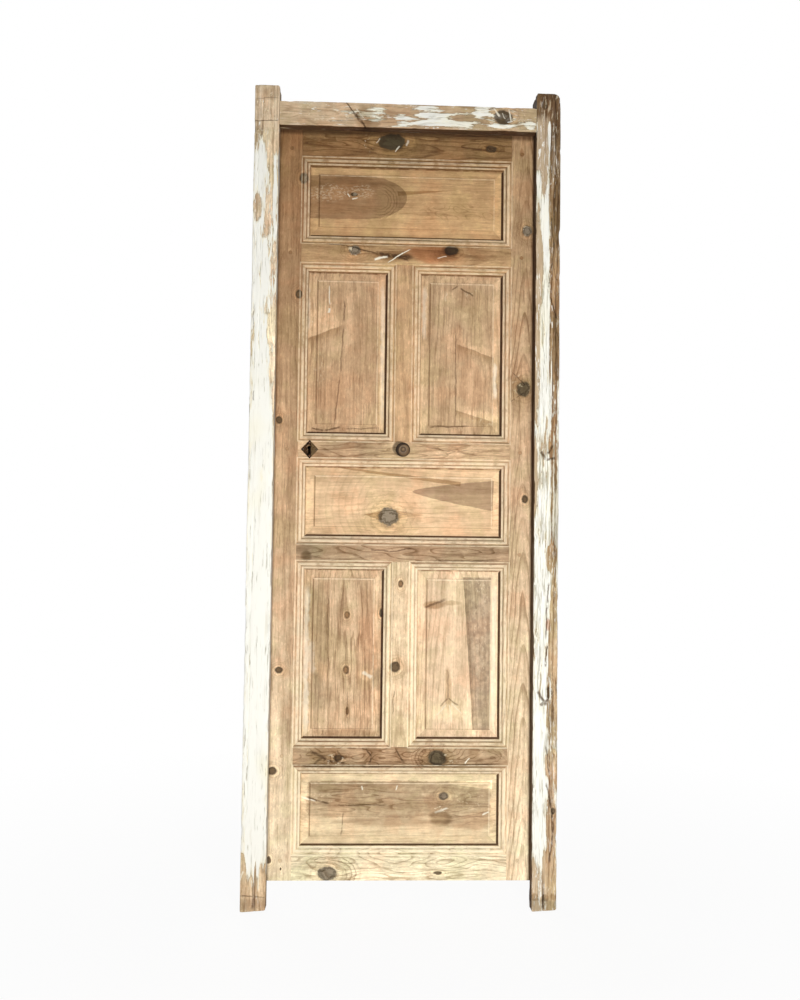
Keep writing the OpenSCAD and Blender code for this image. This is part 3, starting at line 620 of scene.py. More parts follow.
    def done(self, relief=BOARD_RELIEF):
        return self.g.finish(self.colour, self.fine * 0.2 + DRY_ROUGHNESS, self.height, relief, DRY_SPECULAR)


# Tones of the pieces, as (share of the leaf's height, sRGB) stops; the stiles are paler at the foot and
# darker towards the top
LOCK_STILE_TONES = [
    (0.0, (240, 220, 186)), (0.12, (226, 202, 168)), (0.5, (192, 158, 122)), (1.0, (141, 104, 67))]
HINGE_STILE_TONES = [
    (0.0, (242, 222, 186)), (0.15, (232, 208, 172)), (0.5, (195, 164, 130)), (1.0, (177, 144, 106))]


def flat(*rgb):
    """The same tone from end to end."""
    return [(0.0, rgb), (1.0, rgb)]


GREY, BROWN, RED = (0.62, 0.63, 0.60), (0.62, 0.54, 0.44), (0.74, 0.56, 0.46)
GREY_BOARD = (0.50, 0.49, 0.49)
LIFT = (1.62, 1.66, 1.72)
DEEP_RED, SMOKE, MOULD = (0.72, 0.47, 0.36), (0.42, 0.37, 0.29), (0.60, 0.53, 0.49)
PALE, GREEN, WEDGE = (1.28, 1.30, 1.32), (0.66, 0.66, 0.58), (0.58, 0.54, 0.53)


# Boards of the leaf: way of the grain, tones, seed, face and what Pine takes after them, then marks in order.
# Marks name a method of Pine; its rows are in pixels of the photo.
MEMBERS = {
    "lock_stile": [
        ("Z", LOCK_STILE_TONES, 1.3, LEAF_FACE, (-0.33, 0.030, 0.011, 0.03), 0.35),
        ("knots", (304, 178, 4.5, 1.3), (299, 294, 3.4, 1.3), (279, 420, 3.0, 1.3), (279, 670, 4.2, 0.8),
         (272, 771, 4.6, 0.9), (268.5, 860, 2.6, 1.4), (280.5, 869, 1.0, 1.5)),
        ("grain",),
        ("blots", (293, 153, 2.6, 3.0, PALE, 0.9), (290.5, 251, 2.4, 3.0, PALE, 0.9),
         (282, 410, 6, 9, PALE, 0.6), (286, 700, 7, 60, BROWN, 0.25), (276, 560, 8, 60, BROWN, 0.2))],
    "hinge_stile": [
        ("Z", HINGE_STILE_TONES, 4.1, LEAF_FACE, (0.325, 0.022, 0.010, 0.09), 0.85),
        ("knots", (527, 231, 5.2, 1.1, GREY_KNOT), (523.5, 389, 7.5, 1.1, SMOKE_KNOT), (525, 499, 3.2, 1.3)),
        ("grain",),
        ("flecks", (521, 385, 9, 12, 0.7), (527, 231, 5, 6, 0.5)),
        ("blots", (522, 153, 2.2, 4.5, RED, 0.7), (523, 389, 13, 14, GREEN, 0.7),
         (522, 400, 9, 26, BROWN, 0.3)),
        ("cracks", ((512, 372), (526, 386), 0.8, 0.7), ((511, 402), (524, 392), 0.8, 0.7))],
    "top_rail": [
        ("X", flat(140, 108, 70), 7.7, LEAF_FACE, (2.03, 0.020, 0.010, 0.05), 0.9),
        ("knots", (391.5, 142, 9.0, 1.65, OLIVE_KNOT), (491, 149, 3.6, 1.6)),
        ("grain",),
        ("tongues", ((334, 147), (303, 141), 5.0, 0.8, BROWN, 0.8),
         ((316, 143), (336, 139), 3.0, 0.8, BROWN, 0.7), ((470, 150), (505, 149), 3.0, 0.5, BROWN, 0.6)),
        ("blots", (368, 142, 7, 8, PALE, 0.5), (411, 142, 5, 7, PALE, 0.4)),
        ("figure", (345, 144, 40, 11, 30, 4.5, 9, 1.0), (455, 146, 50, 11, 30, 4.5, 9, 1.0)),
        ("flecks", (369, 143, 5, 9, 0.5)),
        ("chips", ((376, 143), (380, 138), 0.9, 0.6), ((395, 152), (400, 146), 1.0, 0.7),
         ((406, 146), (409, 140), 1.4, 0.5))],
    "frieze_rail": [
        ("X", flat(176, 141, 101), 9.2, LEAF_FACE, (1.735, 0.030, 0.012, 0.05), 0.7),
        ("knots", (355, 250, 4.6, 1.4, GREY_KNOT), (451, 251, 5.0, 1.5, DARK_KNOT)),
        ("grain",),
        ("blots", (434, 254, 26, 9, DEEP_RED, 0.9), (452, 251, 12, 8, SMOKE, 0.9),
         (392, 256, 22, 5, BROWN, 0.9), (470, 255, 26, 8, BROWN, 0.4)),
        ("cracks", ((327, 243), (356, 247), 1.0, 0.8), ((354, 247), (378, 254), 1.3, 0.9),
         ((374, 253), (414, 258), 3.2, 1.0), ((384, 254), (410, 260), 2.6, 1.0)),
        ("flecks", (355, 250, 7, 6, 0.9)),
        ("chips", ((387, 262.5), (411, 249), 0.8, 1.0), ((374, 259.5), (388, 256), 1.7, 1.0),
         ((437, 258), (447, 256), 0.7, 0.7))],
    "lock_rail": [
        ("X", flat(194, 162, 126), 11.5, LEAF_FACE, (1.225, 0.035, 0.012, 0.05), 0.6),
        ("grain",),
        ("blots", (350, 450, 34, 12, GREY, 0.5), (302, 446, 8, 9, PALE, 0.7), (404, 441, 13, 6, PALE, 0.8),
         (460, 450, 44, 10, PALE, 0.5), (318, 456, 10, 4, BROWN, 0.5)),
        ("figure", (400, 450, 110, 12, 28, 4, 8, 0.7)),
        ("cracks", ((430, 456), (470, 450), 0.7, 0.5), ((425, 447), (480, 456), 0.7, 0.5))],
    "middle_rail": [
        ("X", flat(180, 153, 121), 13.9, LEAF_FACE, (0.95, 0.025, 0.012, 0.06), 0.5),
        ("grain",),
        ("blots", (309, 551, 14, 9, GREY, 0.8), (306, 556, 6, 5, SMOKE, 0.9), (340, 551, 22, 6, BROWN, 0.5),
         (450, 552, 50, 8, BROWN, 0.3), (402, 562, 12, 6, PALE, 0.7)),
        ("figure", (400, 552, 110, 11, 28, 4, 9, 0.9)),
        ("cracks", ((370, 549), (390, 552), 1.0, 0.8), ((388, 552), (412, 548), 1.0, 0.8),
         ((430, 560), (500, 561), 0.9, 0.7))],
    "lower_rail": [
        ("X", flat(184, 156, 122), 16.4, LEAF_FACE, (0.40, 0.020, 0.011, 0.07), 0.6),
        ("knots", (338, 758, 3.2, 1.6), (437, 758, 7.5, 1.3, SMOKE_KNOT)),
        ("grain",),
        ("ripples", (428, 758, 1.1, 5, 17, 3.0, -1, 0, 0.9), (490, 756, 2.0, 3, 9, 3.2, 1, 0, 0.7)),
        ("figure", (395, 757, 110, 11, 24, 11, 12, 1.0)),
        ("blots", (395, 766, 110, 4, SMOKE, 0.6), (325, 756, 18, 9, BROWN, 0.8),
         (437, 759, 19, 11, GREEN, 0.8), (372, 755, 9, 9, BROWN, 0.7), (402, 755, 9, 8, BROWN, 0.6),
         (474, 753, 6, 7, BROWN, 0.7)),
        ("flecks", (335, 760, 9, 6, 0.7), (447, 753, 7, 4, 0.5), (452, 764, 6, 4, 0.5)),
        ("cracks", ((296, 766), (400, 767), 1.3, 0.9), ((400, 767), (505, 764), 1.1, 0.8),
         ((366, 748), (372, 757), 1.2, 0.9), ((372, 757), (369, 766), 1.2, 0.9),
         ((311, 751), (327, 760), 2.4, 0.8), ((326, 760), (346, 764), 2.0, 0.8),
         ((313, 764), (325, 757), 1.8, 0.7), ((336, 750), (346, 760), 1.6, 0.7),
         ((396, 750), (404, 764), 1.2, 0.8)),
        ("chips", ((465, 764), (470, 758), 0.8, 1.0))],
    "bottom_rail": [
        ("X", flat(241, 226, 191), 18.8, LEAF_FACE, (0.085, 0.012, 0.0125, 0.10), 0.45),
        ("knots", (327, 874, 7.0, 1.4, GREY_KNOT), (438, 873, 1.8, 2.5)),
        ("grain",),
        ("ripples", (334, 874, 1.3, 9, 22, 3.4, 1, -0.6, 0.8)),
        ("figure", (400, 864, 120, 22, 22, 4.2, 13, 0.75))],
    "upper_muntin": [
        ("Z", flat(189, 153, 114), 21.1, LEAF_FACE, (-0.02, 0.040, 0.012, 0.04), 0.4),
        ("grain",),
        ("blots", (404, 275, 8, 16, PALE, 0.4), (404, 436, 10, 8, PALE, 0.5))],
    "lower_muntin": [
        ("Z", flat(226, 199, 162), 23.7, LEAF_FACE, (0.0, 0.035, 0.012, 0.04), 0.45),
        ("knots", (400.5, 584, 2.6, 1.5, RED_KNOT), (395, 667, 5.0, 1.1)),
        ("grain",),
        ("cracks", ((394, 690), (393, 716), 1.0, 0.7))]}
PANELS = {
    "frieze_panel": [
        ("X", flat(189, 152, 108), 26.2, FIELD_FACE, (1.83, 0.05, 0.014, 0.05), 0.2, 0.7, 0.6),
        ("knots", (354, 194.5, 2.0, 1.8, DARK_KNOT)),
        ("grain",),
        ("lobes", ((407, 198.5), 44, 22.5, 309, WEDGE, 0.95)),
        ("tongues", ((450, 191), (398, 193.5), 2.4, 0.8, BROWN, 0.9)),
        ("blots", (346, 193, 27, 9, PALE, 0.7), (450, 216, 44, 5, BROWN, 0.25), (345, 183, 46, 7, BROWN, 0.6),
         (340, 208, 40, 6, BROWN, 0.35)),
        ("ripples", (380, 201, 1.0, 8, 23, 3.0, 1, 0.2, 0.7)),
        ("figure", (455, 212, 40, 8, 26, 12, 10, 0.5)),
        ("fine_flecks", (330, 193, 20, 9, 0.28), (362, 191, 12, 7, 0.25)),
        ("chips", ((347, 194), (350, 197), 1.0, 0.9), ((352, 199), (358, 198), 0.9, 0.8))],
    "upper_left_panel": [
        ("Z", flat(191, 157, 121), 28.6, FIELD_FACE, (-0.16, 0.05, 0.013, 0.03), 0.45),
        ("grain",),
        ("blots", (326, 318, 14, 20, PALE, 0.4), (330, 395, 16, 30, BROWN, 0.25),
         (340, 300, 10, 30, BROWN, 0.2), (365, 350, 16, 60, BROWN, 0.2)),
        ("folds", ((307, 338), (343, 325), 30, 14, 0.8)),
        ("cracks", ((344.5, 300), (344, 322), 1.0, 0.8), ((344, 325), (340, 375), 0.9, 0.6),
         ((340, 375), (334, 426), 0.9, 0.7), ((311, 428), (324, 430), 1.3, 0.9),
         ((324, 430), (341, 427), 1.5, 0.9), ((345, 429), (378, 428), 0.9, 0.7)),
        ("flecks", (320, 372, 6, 20, 0.3), (311, 315, 5, 20, 0.35)),
        ("chips", ((383, 280), (382, 430), 3.0, 0.3), ((308, 284), (307, 331), 3.6, 0.5),
         ((329.5, 285), (329.5, 305), 0.8, 0.8), ((329, 308), (329, 313), 1.6, 0.9))],
    "upper_right_panel": [
        ("Z", flat(194, 162, 126), 31.0, FIELD_FACE, (0.20, 0.05, 0.013, 0.03), 0.45),
        ("grain",),
        ("blots", (477, 352, 20, 6, PALE, 0.6), (478, 417, 20, 6, PALE, 0.6), (448, 297, 8, 6, PALE, 0.6),
         (470, 300, 14, 14, BROWN, 0.4), (440, 390, 12, 50, BROWN, 0.25), (482, 330, 12, 40, BROWN, 0.2)),
        ("folds", ((457, 344), (497, 359), 12, 12, 0.7), ((455, 410), (497, 423), 12, 10, 0.7)),
        ("cracks", ((455.5, 325), (455.5, 428), 0.7, 0.7), ((452, 290), (458, 286), 1.2, 0.7),
         ((460, 288), (474, 297), 1.4, 0.8), ((428, 427), (470, 426), 1.2, 0.8)),
        ("chips", ((425, 285), (424, 340), 3.0, 0.3), ((495, 362), (495, 400), 2.5, 0.5)),
        ("flecks", (446, 297, 5, 7, 0.4), (470, 293, 7, 5, 0.4), (482, 420, 12, 8, 0.3))],
    "middle_panel": [
        ("X", flat(219, 185, 145), 33.3, FIELD_FACE, (1.09, 0.02, 0.013, 0.06), 0.25, 0.7, 0.45),
        ("knots", (388.5, 516.5, 9.6, 1.15, GREY_KNOT)),
        ("grain",),
        ("tongues", ((412, 491.5), (493, 496), 15.2, 0.68, WEDGE, 1.0),
         ((340, 467.5), (460, 484), 2.2, 0.35, BROWN, 0.95)),
        ("ripples", (396, 506, 1.0, 30, 92, 6.5, -1, 0.2, 0.2)),
        ("tongues", ((364, 514), (382, 516), 5.0, 0.9, BROWN, 0.9),
         ((424, 515), (396, 515), 4.0, 0.9, BROWN, 0.6)),
        ("blots", (362, 466, 8, 2.5, BROWN, 0.9), (392, 505, 14, 5, PALE, 0.4))],
    "lower_left_panel": [
        ("Z", flat(207, 176, 140), 36.5, FIELD_FACE, (-0.155, 0.03, 0.012, 0.05), 0.6),
        ("knots", (347, 615, 2.8, 1.3, RED_KNOT), (346, 670, 3.0, 1.5, RED_KNOT),
         (347, 711, 1.6, 2.6, RED_KNOT), (381, 613, 1.8, 2.4, DARK_KNOT)),
        ("grain",),
        ("figure", (350, 655, 24, 80, 60, 3.5, 4, 0.7)),
        ("blots", (318, 632, 12, 50, GREEN, 0.8), (316, 694, 14, 18, GREY, 0.6),
         (366, 645, 10, 60, RED, 0.45), (366, 675, 8, 6, PALE, 0.9), (380, 680, 8, 11, GREY, 0.8),
         (345, 733, 32, 4, BROWN, 0.5), (328, 640, 2, 60, BROWN, 0.5), (307, 600, 5, 24, GREEN, 0.5),
         (381, 720, 5, 22, GREY, 0.5)),
        ("chips", ((306, 628), (305, 738), 4.0, 0.5), ((307, 584), (305, 690), 4.5, 0.4),
         ((310, 640), (312, 675), 5.0, 0.35), ((362, 672), (372, 678), 2.5, 0.6)),
        ("cracks", ((328, 590), (328, 690), 0.7, 0.6), ((347, 690), (347, 726), 0.7, 0.6),
         ((346, 640), (346, 662), 0.6, 0.5))],
    "lower_right_panel": [
        ("Z", flat(222, 193, 158), 38.9, FIELD_FACE, (0.13, 0.03, 0.012, 0.05), 0.4, 0.8, 0.7),
        ("grain",),
        ("halves", ((463, 572), (473, 736), (426.5, 577), (490, 730), GREY_BOARD, 1.0)),
        ("blots", (434, 605, 11, 4, BROWN, 0.9), (448, 714, 20, 9, PALE, 0.7), (448, 690, 4, 22, BROWN, 0.7),
         (452, 603, 9, 2.5, BROWN, 0.6), (474, 716, 10, 26, PALE, 0.8)),
        ("flecks", (482, 590, 7, 16, 0.5), (449, 714, 16, 9, 0.6), (480, 640, 8, 50, 0.3)),
        ("cracks", ((424, 608), (447, 599), 1.8, 0.7), ((448, 668), (448, 700), 1.3, 0.5),
         ((448, 698), (440, 707), 1.2, 0.6), ((448, 698), (458, 706), 1.2, 0.7)),
        ("chips", ((494, 580), (493, 735), 3.5, 0.4), ((447, 704), (436, 716), 0.8, 0.5),
         ((449, 704), (452, 722), 0.8, 0.5), ((451, 703), (462, 714), 0.8, 0.5))],
    "bottom_panel": [
        ("X", flat(218, 195, 157), 41.2, FIELD_FACE, (0.25, 0.03, 0.012, 0.06), 0.25, 0.7, 0.6),
        ("knots", (443.5, 796, 4.0, 1.2, GREY_KNOT)),
        ("grain",),
        ("boards", ((307, 781.5), (490, 817), 2.6, MOULD, 0.75), ((309, 783), (489, 806), 5.0, MOULD, 0.32)),
        ("blots", (470, 822, 24, 7, MOULD, 0.8), (390, 821, 50, 5, MOULD, 0.7),
         (318, 826, 18, 10, PALE, 0.4)),
        ("tongues", ((447, 783), (492, 785), 4.5, 0.7, LIFT, 0.9)),
        ("blots", (350, 787, 44, 6, BROWN, 0.5), (400, 806, 60, 5, BROWN, 0.4), (330, 812, 24, 8, PALE, 0.4)),
        ("figure", (370, 800, 60, 14, 36, 4, 7, 0.8), (468, 808, 22, 14, 30, 10, 8, 0.7)),
        ("flecks", (440, 809, 9, 3.5, 0.8), (320, 799, 16, 5, 0.5), (470, 800, 20, 10, 0.3)),
        ("chips", ((361, 786), (363, 790), 1.2, 0.9), ((395, 790), (397, 785), 0.8, 0.9),
         ((482, 815), (489, 812), 1.0, 0.9), ((434, 813), (448, 808), 1.6, 0.7),
         ((300, 797), (316, 801), 1.2, 0.7)),
        ("blots", (440, 818, 11, 7, SMOKE, 0.8), (443, 797, 9, 8, PALE, 0.5), (340, 828, 34, 6, PALE, 0.4),
         (312, 799, 12, 5, PALE, 0.7), (350, 800, 30, 6, BROWN, 0.4), (395, 802, 60, 4, PALE, 0.35)),
        ("cracks", ((334, 805), (390, 805), 1.0, 0.7), ((343, 812), (341, 836), 1.0, 0.6),
         ((306, 797), (330, 804), 1.4, 0.8))]}
# Painted shade with some dirt beside the frame's lip: low and high distance from it in metres, strength
LOCK_SHADE_AND_DIRT, HINGE_SHADE_AND_DIRT, HEAD_SHADE_AND_DIRT = (0.0, 0.006, 0.6), (0.0, 0.009, 0.95), (0.004, 0.016, 0.7)


def board_of(node, rows):
    """Board for a node of the leaf, with its marks and the painted shade with some dirt beside the frame's
    lip.
    """
    first, *marks = rows
    board = Pine("pine_" + node, *first).marks(marks)
    if node == "lock_stile":
        board.shade_and_dirt_edge(board.x + POST_IN, *LOCK_SHADE_AND_DIRT)
    if node == "hinge_stile":
        board.shade_and_dirt_edge(POST_IN - board.x, *HINGE_SHADE_AND_DIRT)
    if node in ("lock_stile", "hinge_stile", "top_rail"):
        board.shade_and_dirt_edge(HEAD_LOW - board.z, *HEAD_SHADE_AND_DIRT)
    return board


# Worn copies of the CAD boards

def finished(bm, name, sharp):
    """Mesh of a bmesh, smooth but for edges sharper than an angle in degrees."""
    mesh = bpy.data.meshes.new(name)
    bm.to_mesh(mesh)
    bm.free()
    mesh.shade_smooth()
    mesh.set_sharp_from_angle(angle=math.radians(sharp))
    return mesh


def skin(bm, rings):
    """Faces between closed rings of vertices, and over the first and the last."""
    for low, high in zip(rings, rings[1:]):
        for k in range(len(low)):
            bm.faces.new((low[k], low[(k + 1) % len(low)], high[(k + 1) % len(low)], high[k]))
    for ring in (rings[0], rings[-1]):
        bm.faces.new(ring)
    bmesh.ops.recalc_face_normals(bm, faces=bm.faces)


def worn_mesh(node, bevel, sharp=35):
    """Mesh of a CAD node with clean faces and its sharp outer edges worn round."""
    bm = bmesh.new()
    bm.from_mesh(bpy.data.objects[node].data)
    bmesh.ops.remove_doubles(bm, verts=bm.verts, dist=1e-5)
    bmesh.ops.dissolve_limit(bm, angle_limit=math.radians(0.5), verts=bm.verts, edges=bm.edges)
    limit = math.radians(sharp)
    edges = [e for e in bm.edges if e.is_manifold and e.is_convex and e.calc_face_angle() > limit]
    bmesh.ops.bevel(bm, geom=edges, offset=bevel, segments=2, profile=0.5, affect="EDGES",
                    clamp_overlap=False)
    return finished(bm, node + "_worn", 30)


def new_piece(name, mesh, body, slot, material, *nodes):
    """Object for a mesh that stands for CAD nodes and rides on a body."""
    obj = bpy.data.objects.new(name, mesh)
    bpy.context.collection.objects.link(obj)
    mesh.materials.clear()
    mesh.materials.append(material)
    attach(obj, body)
    if nodes:
        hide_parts(*nodes)
    return obj


MEMBER_BEVEL, PANEL_BEVEL, IRON_BEVEL = 0.9 * MM, 0.6 * MM, 0.5 * MM


def opening(panel):
    """Rectangle of X and Z between the mouldings round a panel."""
    low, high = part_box(panel)
    return low.x + TONGUE, low.z + TONGUE, high.x - TONGUE, high.z - TONGUE


def beside(node):
    """Openings whose mouldings are worked on this member."""
    low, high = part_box(node)
    reach = 1 * MM
    boxes = [opening(panel) for panel in PANELS]
    return [(x0, z0, x1, z1) for x0, z0, x1, z1 in boxes
            if x0 < high.x + reach and x1 > low.x - reach and z0 < high.z + reach and z1 > low.z - reach]


def add_leaf():
    for node, rows in MEMBERS.items():
        material = board_of(node, rows).mouldings(beside(node)).done()
        new_piece(node + "_worn", worn_mesh(node, MEMBER_BEVEL), "leaf", "leaf_pine", material, node)
    for node, rows in PANELS.items():
        material = board_of(node, rows).fielded(opening(node)).done()
        new_piece(node + "_worn", worn_mesh(node, PANEL_BEVEL), "leaf", "panel_pine", material, node)


# Posts and head: thick worn beams with flaking white paint

ROW_STEP = 5 * MM
ARC_POINTS = 5
BACK_SHRINK = 0.4 * MM
ARRIS_REACH = 12 * MM
CHIP_DEPTH, CHECK_DEPTH = 5 * MM, 6 * MM
HEAD_SEED = 30
# How far the sawn feet rise to one side, by side of the door
FOOT_RISE = {-1: 5 * MM, 1: 4 * MM}
# Rows near a beam's end: length of that stretch, and its places from the end
END_LENGTH, END_ROWS = 4 * MM, [0.0, 0.8 * MM, 1.8 * MM, 3.0 * MM]
# Radii of the lip's back, the rebate's corner and the rebate's back; points along each side of a section
REBATE_RADII = [0.8 * MM, 0.8 * MM, 1.5 * MM]
SIDE_POINTS = [28, 10, 4, 12, 16, 22]


def rounded(corners, radii, counts):
    """Closed outline with each corner rounded, and the closeness of its points to a corner."""
    points, near = [], []
    total = len(corners)
    for k in range(total):
        here, before, after = (Vector(corners[k]), Vector(corners[k - 1]), Vector(corners[(k + 1) % total]))
        start = here + (before - here).normalized() * radii[k]
        end = here + (after - here).normalized() * radii[k]
        for j in range(ARC_POINTS):
            t = j / (ARC_POINTS - 1)
            points.append(start * (1 - t) ** 2 + here * (2 * t * (1 - t)) + end * t * t)
            near.append(1.0)
        leave = after + (here - after).normalized() * radii[(k + 1) % total]
        for j in range(1, counts[k] + 1):
            t = j / (counts[k] + 1)
            points.append(end.lerp(leave, t))
            reach = min(t, 1 - t) * (leave - end).length
            near.append(max(0.0, 1.0 - reach / ARRIS_REACH))
    return points, near


def beam(name, rows, sections, to_world, sink):
    """Closed skin through one section per row; sink(row, p, q, near) gives how deep each point is worn."""
    bm = bmesh.new()
    groove = bm.verts.layers.float.new("groove")
    arris = bm.verts.layers.float.new("arris")
    rings = []
    for row in rows:
        points, near = sections(row)
        count = len(points)
        middle = sum(points, Vector((0, 0))) / count
        ring = []
        for k, point in enumerate(points):
            run = points[(k + 1) % count] - points[k - 1]
            inward = Vector((-run.y, run.x)).normalized() if run.length > 0 else Vector((0, 0))
            if inward.dot(middle - point) < -0.02:
                inward = -inward
            deep, cut = sink(row, point, near[k])
            vert = bm.verts.new(to_world(row, point + inward * deep))
            vert[groove], vert[arris] = cut, near[k]
            ring.append(vert)
        rings.append(ring)
    skin(bm, rings)
    return finished(bm, name, 50)


def wave(place, scale, seed, octaves=3):
    """Noise from about -1 to 1 at a place, stretched by a scale per axis."""
    x, y, z = (p * k for p, k in zip(place, scale))
    spot = Vector((x + seed * 17.3, y - seed * 5.1, z + seed))
    return noise.fractal(spot, 1.0, 2.0, octaves)


def row_places(low, high, step, end=END_LENGTH):
    """Places along a beam, closer together at its two ends."""
    length = high - low - 2 * end
    inner = max(2, round(length / step))
    return ([low + e for e in END_ROWS] + [low + end + length * k / inner for k in range(inner + 1)]
            + [high - e for e in reversed(END_ROWS)])


def end_round(place, low, high, radius=END_LENGTH):
    """How far a beam's end draws in near its two ends."""
    reach = min(place - low, high - place)
    if reach >= radius:
        return 0.0
    return (radius - math.sqrt(max(0.0, radius ** 2 - (radius - reach) ** 2))) * 0.8


# Checks of the posts: place across the face in mm from the lip, low and high z, half width and depth in mm
LOCK_CHECKS = [
    (30, 0.0, 0.12, 1.6, 9), (52, 0.25, 1.1, 1.3, 2.5), (16, 1.55, 2.19, 1.3, 3), (44, 1.3, 1.9, 1.2, 2.5),
    (58, 1.7, 2.1, 1.4, 3)]
HINGE_CHECKS = [
    (32, 0.0, 0.10, 1.7, 10), (44, 0.05, 0.75, 1.8, 5), (54, 0.2, 1.0, 1.7, 5), (40, 0.5, 0.62, 3.0, 6),
    (48, 0.9, 1.6, 1.8, 5), (58, 1.1, 1.9, 1.6, 5), (42, 1.4, 2.1, 1.8, 5), (52, 1.7, 2.19, 1.8, 6),
    (26, 1.9, 2.19, 1.4, 4)]


def weathered(place, grain, seed, relief, start, near):
    """Depth of coarse and fine raised grain and of chips by an arris; grain is the axis along the beam."""
    def scales(across, along): return [along if k == grain else across for k in range(3)]
    coarse, fine = relief
    rough = coarse * (1 + wave(place, scales(26, 3.2), seed + 3)) + fine * (
        1 + wave(place, scales(160, 9), seed + 4))
    return rough + max(0.0, wave(place, scales(30, 22), seed + 6) - start) * CHIP_DEPTH * near


def post_mesh(name, side, checks, seed, arris_wear, horn_wear):
    """Post with its lip, rebate, sawn foot and worn horn; side -1 is the lock post."""
    foot_rise = FOOT_RISE[side]

    def sections(row):
        z = row
        wear = [arris_wear[k] * (1 + 0.6 * wave((k * 3.0, 0, z), (1, 1, 9), seed)) for k in range(4)]
        inset = end_round(z, 0, POST_TOP)
        back, inner = BACK_FACE - BACK_SHRINK - inset, POST_IN + inset
        step = POST_REBATE + inset if z < REBATE_TOP else inner
        out = POST_OUT - inset
        if side > 0:
            out -= horn_wear * max(0.0, 1 - (POST_TOP - z) / 0.016) ** 2
        lip = LIP_BACK if z < REBATE_TOP else LIP_BACK + 0.002
        corners = [(out, FRAME_FACE + inset), (inner, FRAME_FACE + inset), (inner, lip), (step, lip + 0.0001),
                   (step, back), (out, back)]
        return rounded(corners, [*wear[:2], *REBATE_RADII, wear[2]], SIDE_POINTS)

    def sink(row, point, near):
        z, p, q = row, point.x, point.y
        worn = weathered((p, q, z), 2, seed, (0.45 * MM, 0.22 * MM), 0.18, near)
        cut = 0.0
        if q < FRAME_FACE + 0.012:
            for place, low, high, half, deep in checks:
                if low - 0.02 < z < high + 0.02:
                    line = POST_IN + place * MM + 4 * MM * wave((place, 0, z), (1, 1, 2.6), seed + 9)
                    fade = min(1.0, (z - low + 0.02) / 0.05, (high + 0.02 - z) / 0.05)
                    cut = max(cut, fade * max(0.0, 1 - abs(p - line) / (half * 1.6 * MM)) * deep / 10)
        return max(0.0, worn + cut * CHECK_DEPTH), cut

    def to_world(row, point):
        share = (point.x - POST_IN) / (POST_OUT - POST_IN)
        rise = foot_rise * ((1 - share) if side < 0 else share)
        return Vector((side * point.x, point.y, row + rise * (1 - row / POST_TOP)))

    return beam(name, row_places(0.0, POST_TOP, ROW_STEP), sections, to_world, sink)


def head_mesh(name):
    """Head with its rebate, between the two posts."""
    low, high = -POST_IN, POST_IN

    def sections(row):
        wear = [(2.2 + 1.2 * wave((k * 3.0, 0, row), (1, 1, 11), HEAD_SEED + 1)) * MM for k in range(4)]
        back = BACK_FACE - BACK_SHRINK
        corners = [(HEAD_HIGH, FRAME_FACE), (HEAD_LOW, FRAME_FACE), (HEAD_LOW, LIP_BACK),
                   (REBATE_TOP, LIP_BACK + 0.0001), (REBATE_TOP, back), (HEAD_HIGH, back)]
        return rounded(corners, [*wear[:2], *REBATE_RADII, wear[2]], SIDE_POINTS)

    def sink(row, point, near):
        place = (row, point.y, point.x)
        return max(0.0, weathered(place, 0, HEAD_SEED, (0.4 * MM, 0.2 * MM), 0.2, near)), 0.0

    def to_world(row, point):
        return Vector((row, point.y, point.x))

    return beam(name, row_places(low, high, ROW_STEP), sections, to_world, sink)


PAINT, PAINT_DIRT, PAINT_CREAM = linear(246, 245, 237), (0.80, 0.77, 0.70), (1.0, 0.98, 0.90)
PAINT_EDGE, PAINT_HAIR = (0.97, 0.91, 0.76), (0.45, 0.41, 0.32)
BARE_POST = [
    (0.0, (210, 186, 150)), (0.3, (220, 194, 160)), (0.72, (250, 228, 196)), (0.86, (232, 208, 176)),
    (0.96, (216, 190, 156)), (1.0, (212, 188, 156))]
BARE_HINGE = [
    (0.0, (204, 176, 138)), (0.1, (196, 168, 132)), (0.3, (188, 162, 126)), (0.45, (176, 146, 106)),
    (0.75, (172, 142, 104)), (0.93, (150, 122, 86)), (1.0, (120, 95, 66))]
INNER_BARE, INNER_SPLIT = linear(206, 184, 154), (549.5, 180)
SPLIT_BLUR, HORN_FADE = 2 * MM, (2.135, 2.105)
# Paint of the posts and the head: centre pixel, half widths in pixels, weight; bare patches weigh below zero
LOCK_PATCHES = [
    (266, 98, 22, 24, -1.1), (268, 124, 18, 26, -0.8), (268.5, 184, 4.8, 50, -0.6), (259, 165, 4, 24, 0.3),
    (276, 172, 2.6, 34, 0.2), (258, 207, 4.6, 14, -0.6), (271, 262, 4.0, 36, -0.2),
    (260, 270, 4.0, 24, -0.15), (269, 318, 10, 24, -0.4), (274, 365, 5, 44, -0.3), (275, 440, 3.4, 60, -0.2),
    (241, 868, 4, 14, -0.8)]
LOCK_THIN = 0.05
HINGE_PATCHES = [
    (550, 102, 20, 20, -1.1), (556, 175, 6.5, 75, -0.9), (543, 155, 6, 40, -0.8), (549.5, 135, 1.8, 14, 0.9),
    (549.5, 166, 1.0, 24, 0.4), (539, 182, 2.6, 14, 0.8), (545.0, 222, 4.0, 22, 0.6),
    (556, 255, 7.4, 60, -0.85), (546.0, 264, 2.4, 34, 0.4), (539, 265, 5.0, 40, -0.65),
    (556, 330, 5.6, 50, -0.8), (536.5, 345, 3.8, 70, -0.55), (545, 370, 5, 50, 0.12),
    (555, 400, 2.4, 30, -0.5), (533.5, 480, 3.4, 40, -0.5), (551.5, 559, 5, 13, -1.1),
    (553.5, 640, 3.6, 70, -0.7), (553, 722, 6, 20, -0.9), (551.5, 765, 6, 14, -1.0), (551, 815, 5, 50, -0.7),
    (538, 640, 7, 110, 0.15), (537, 800, 7, 60, 0.3)]
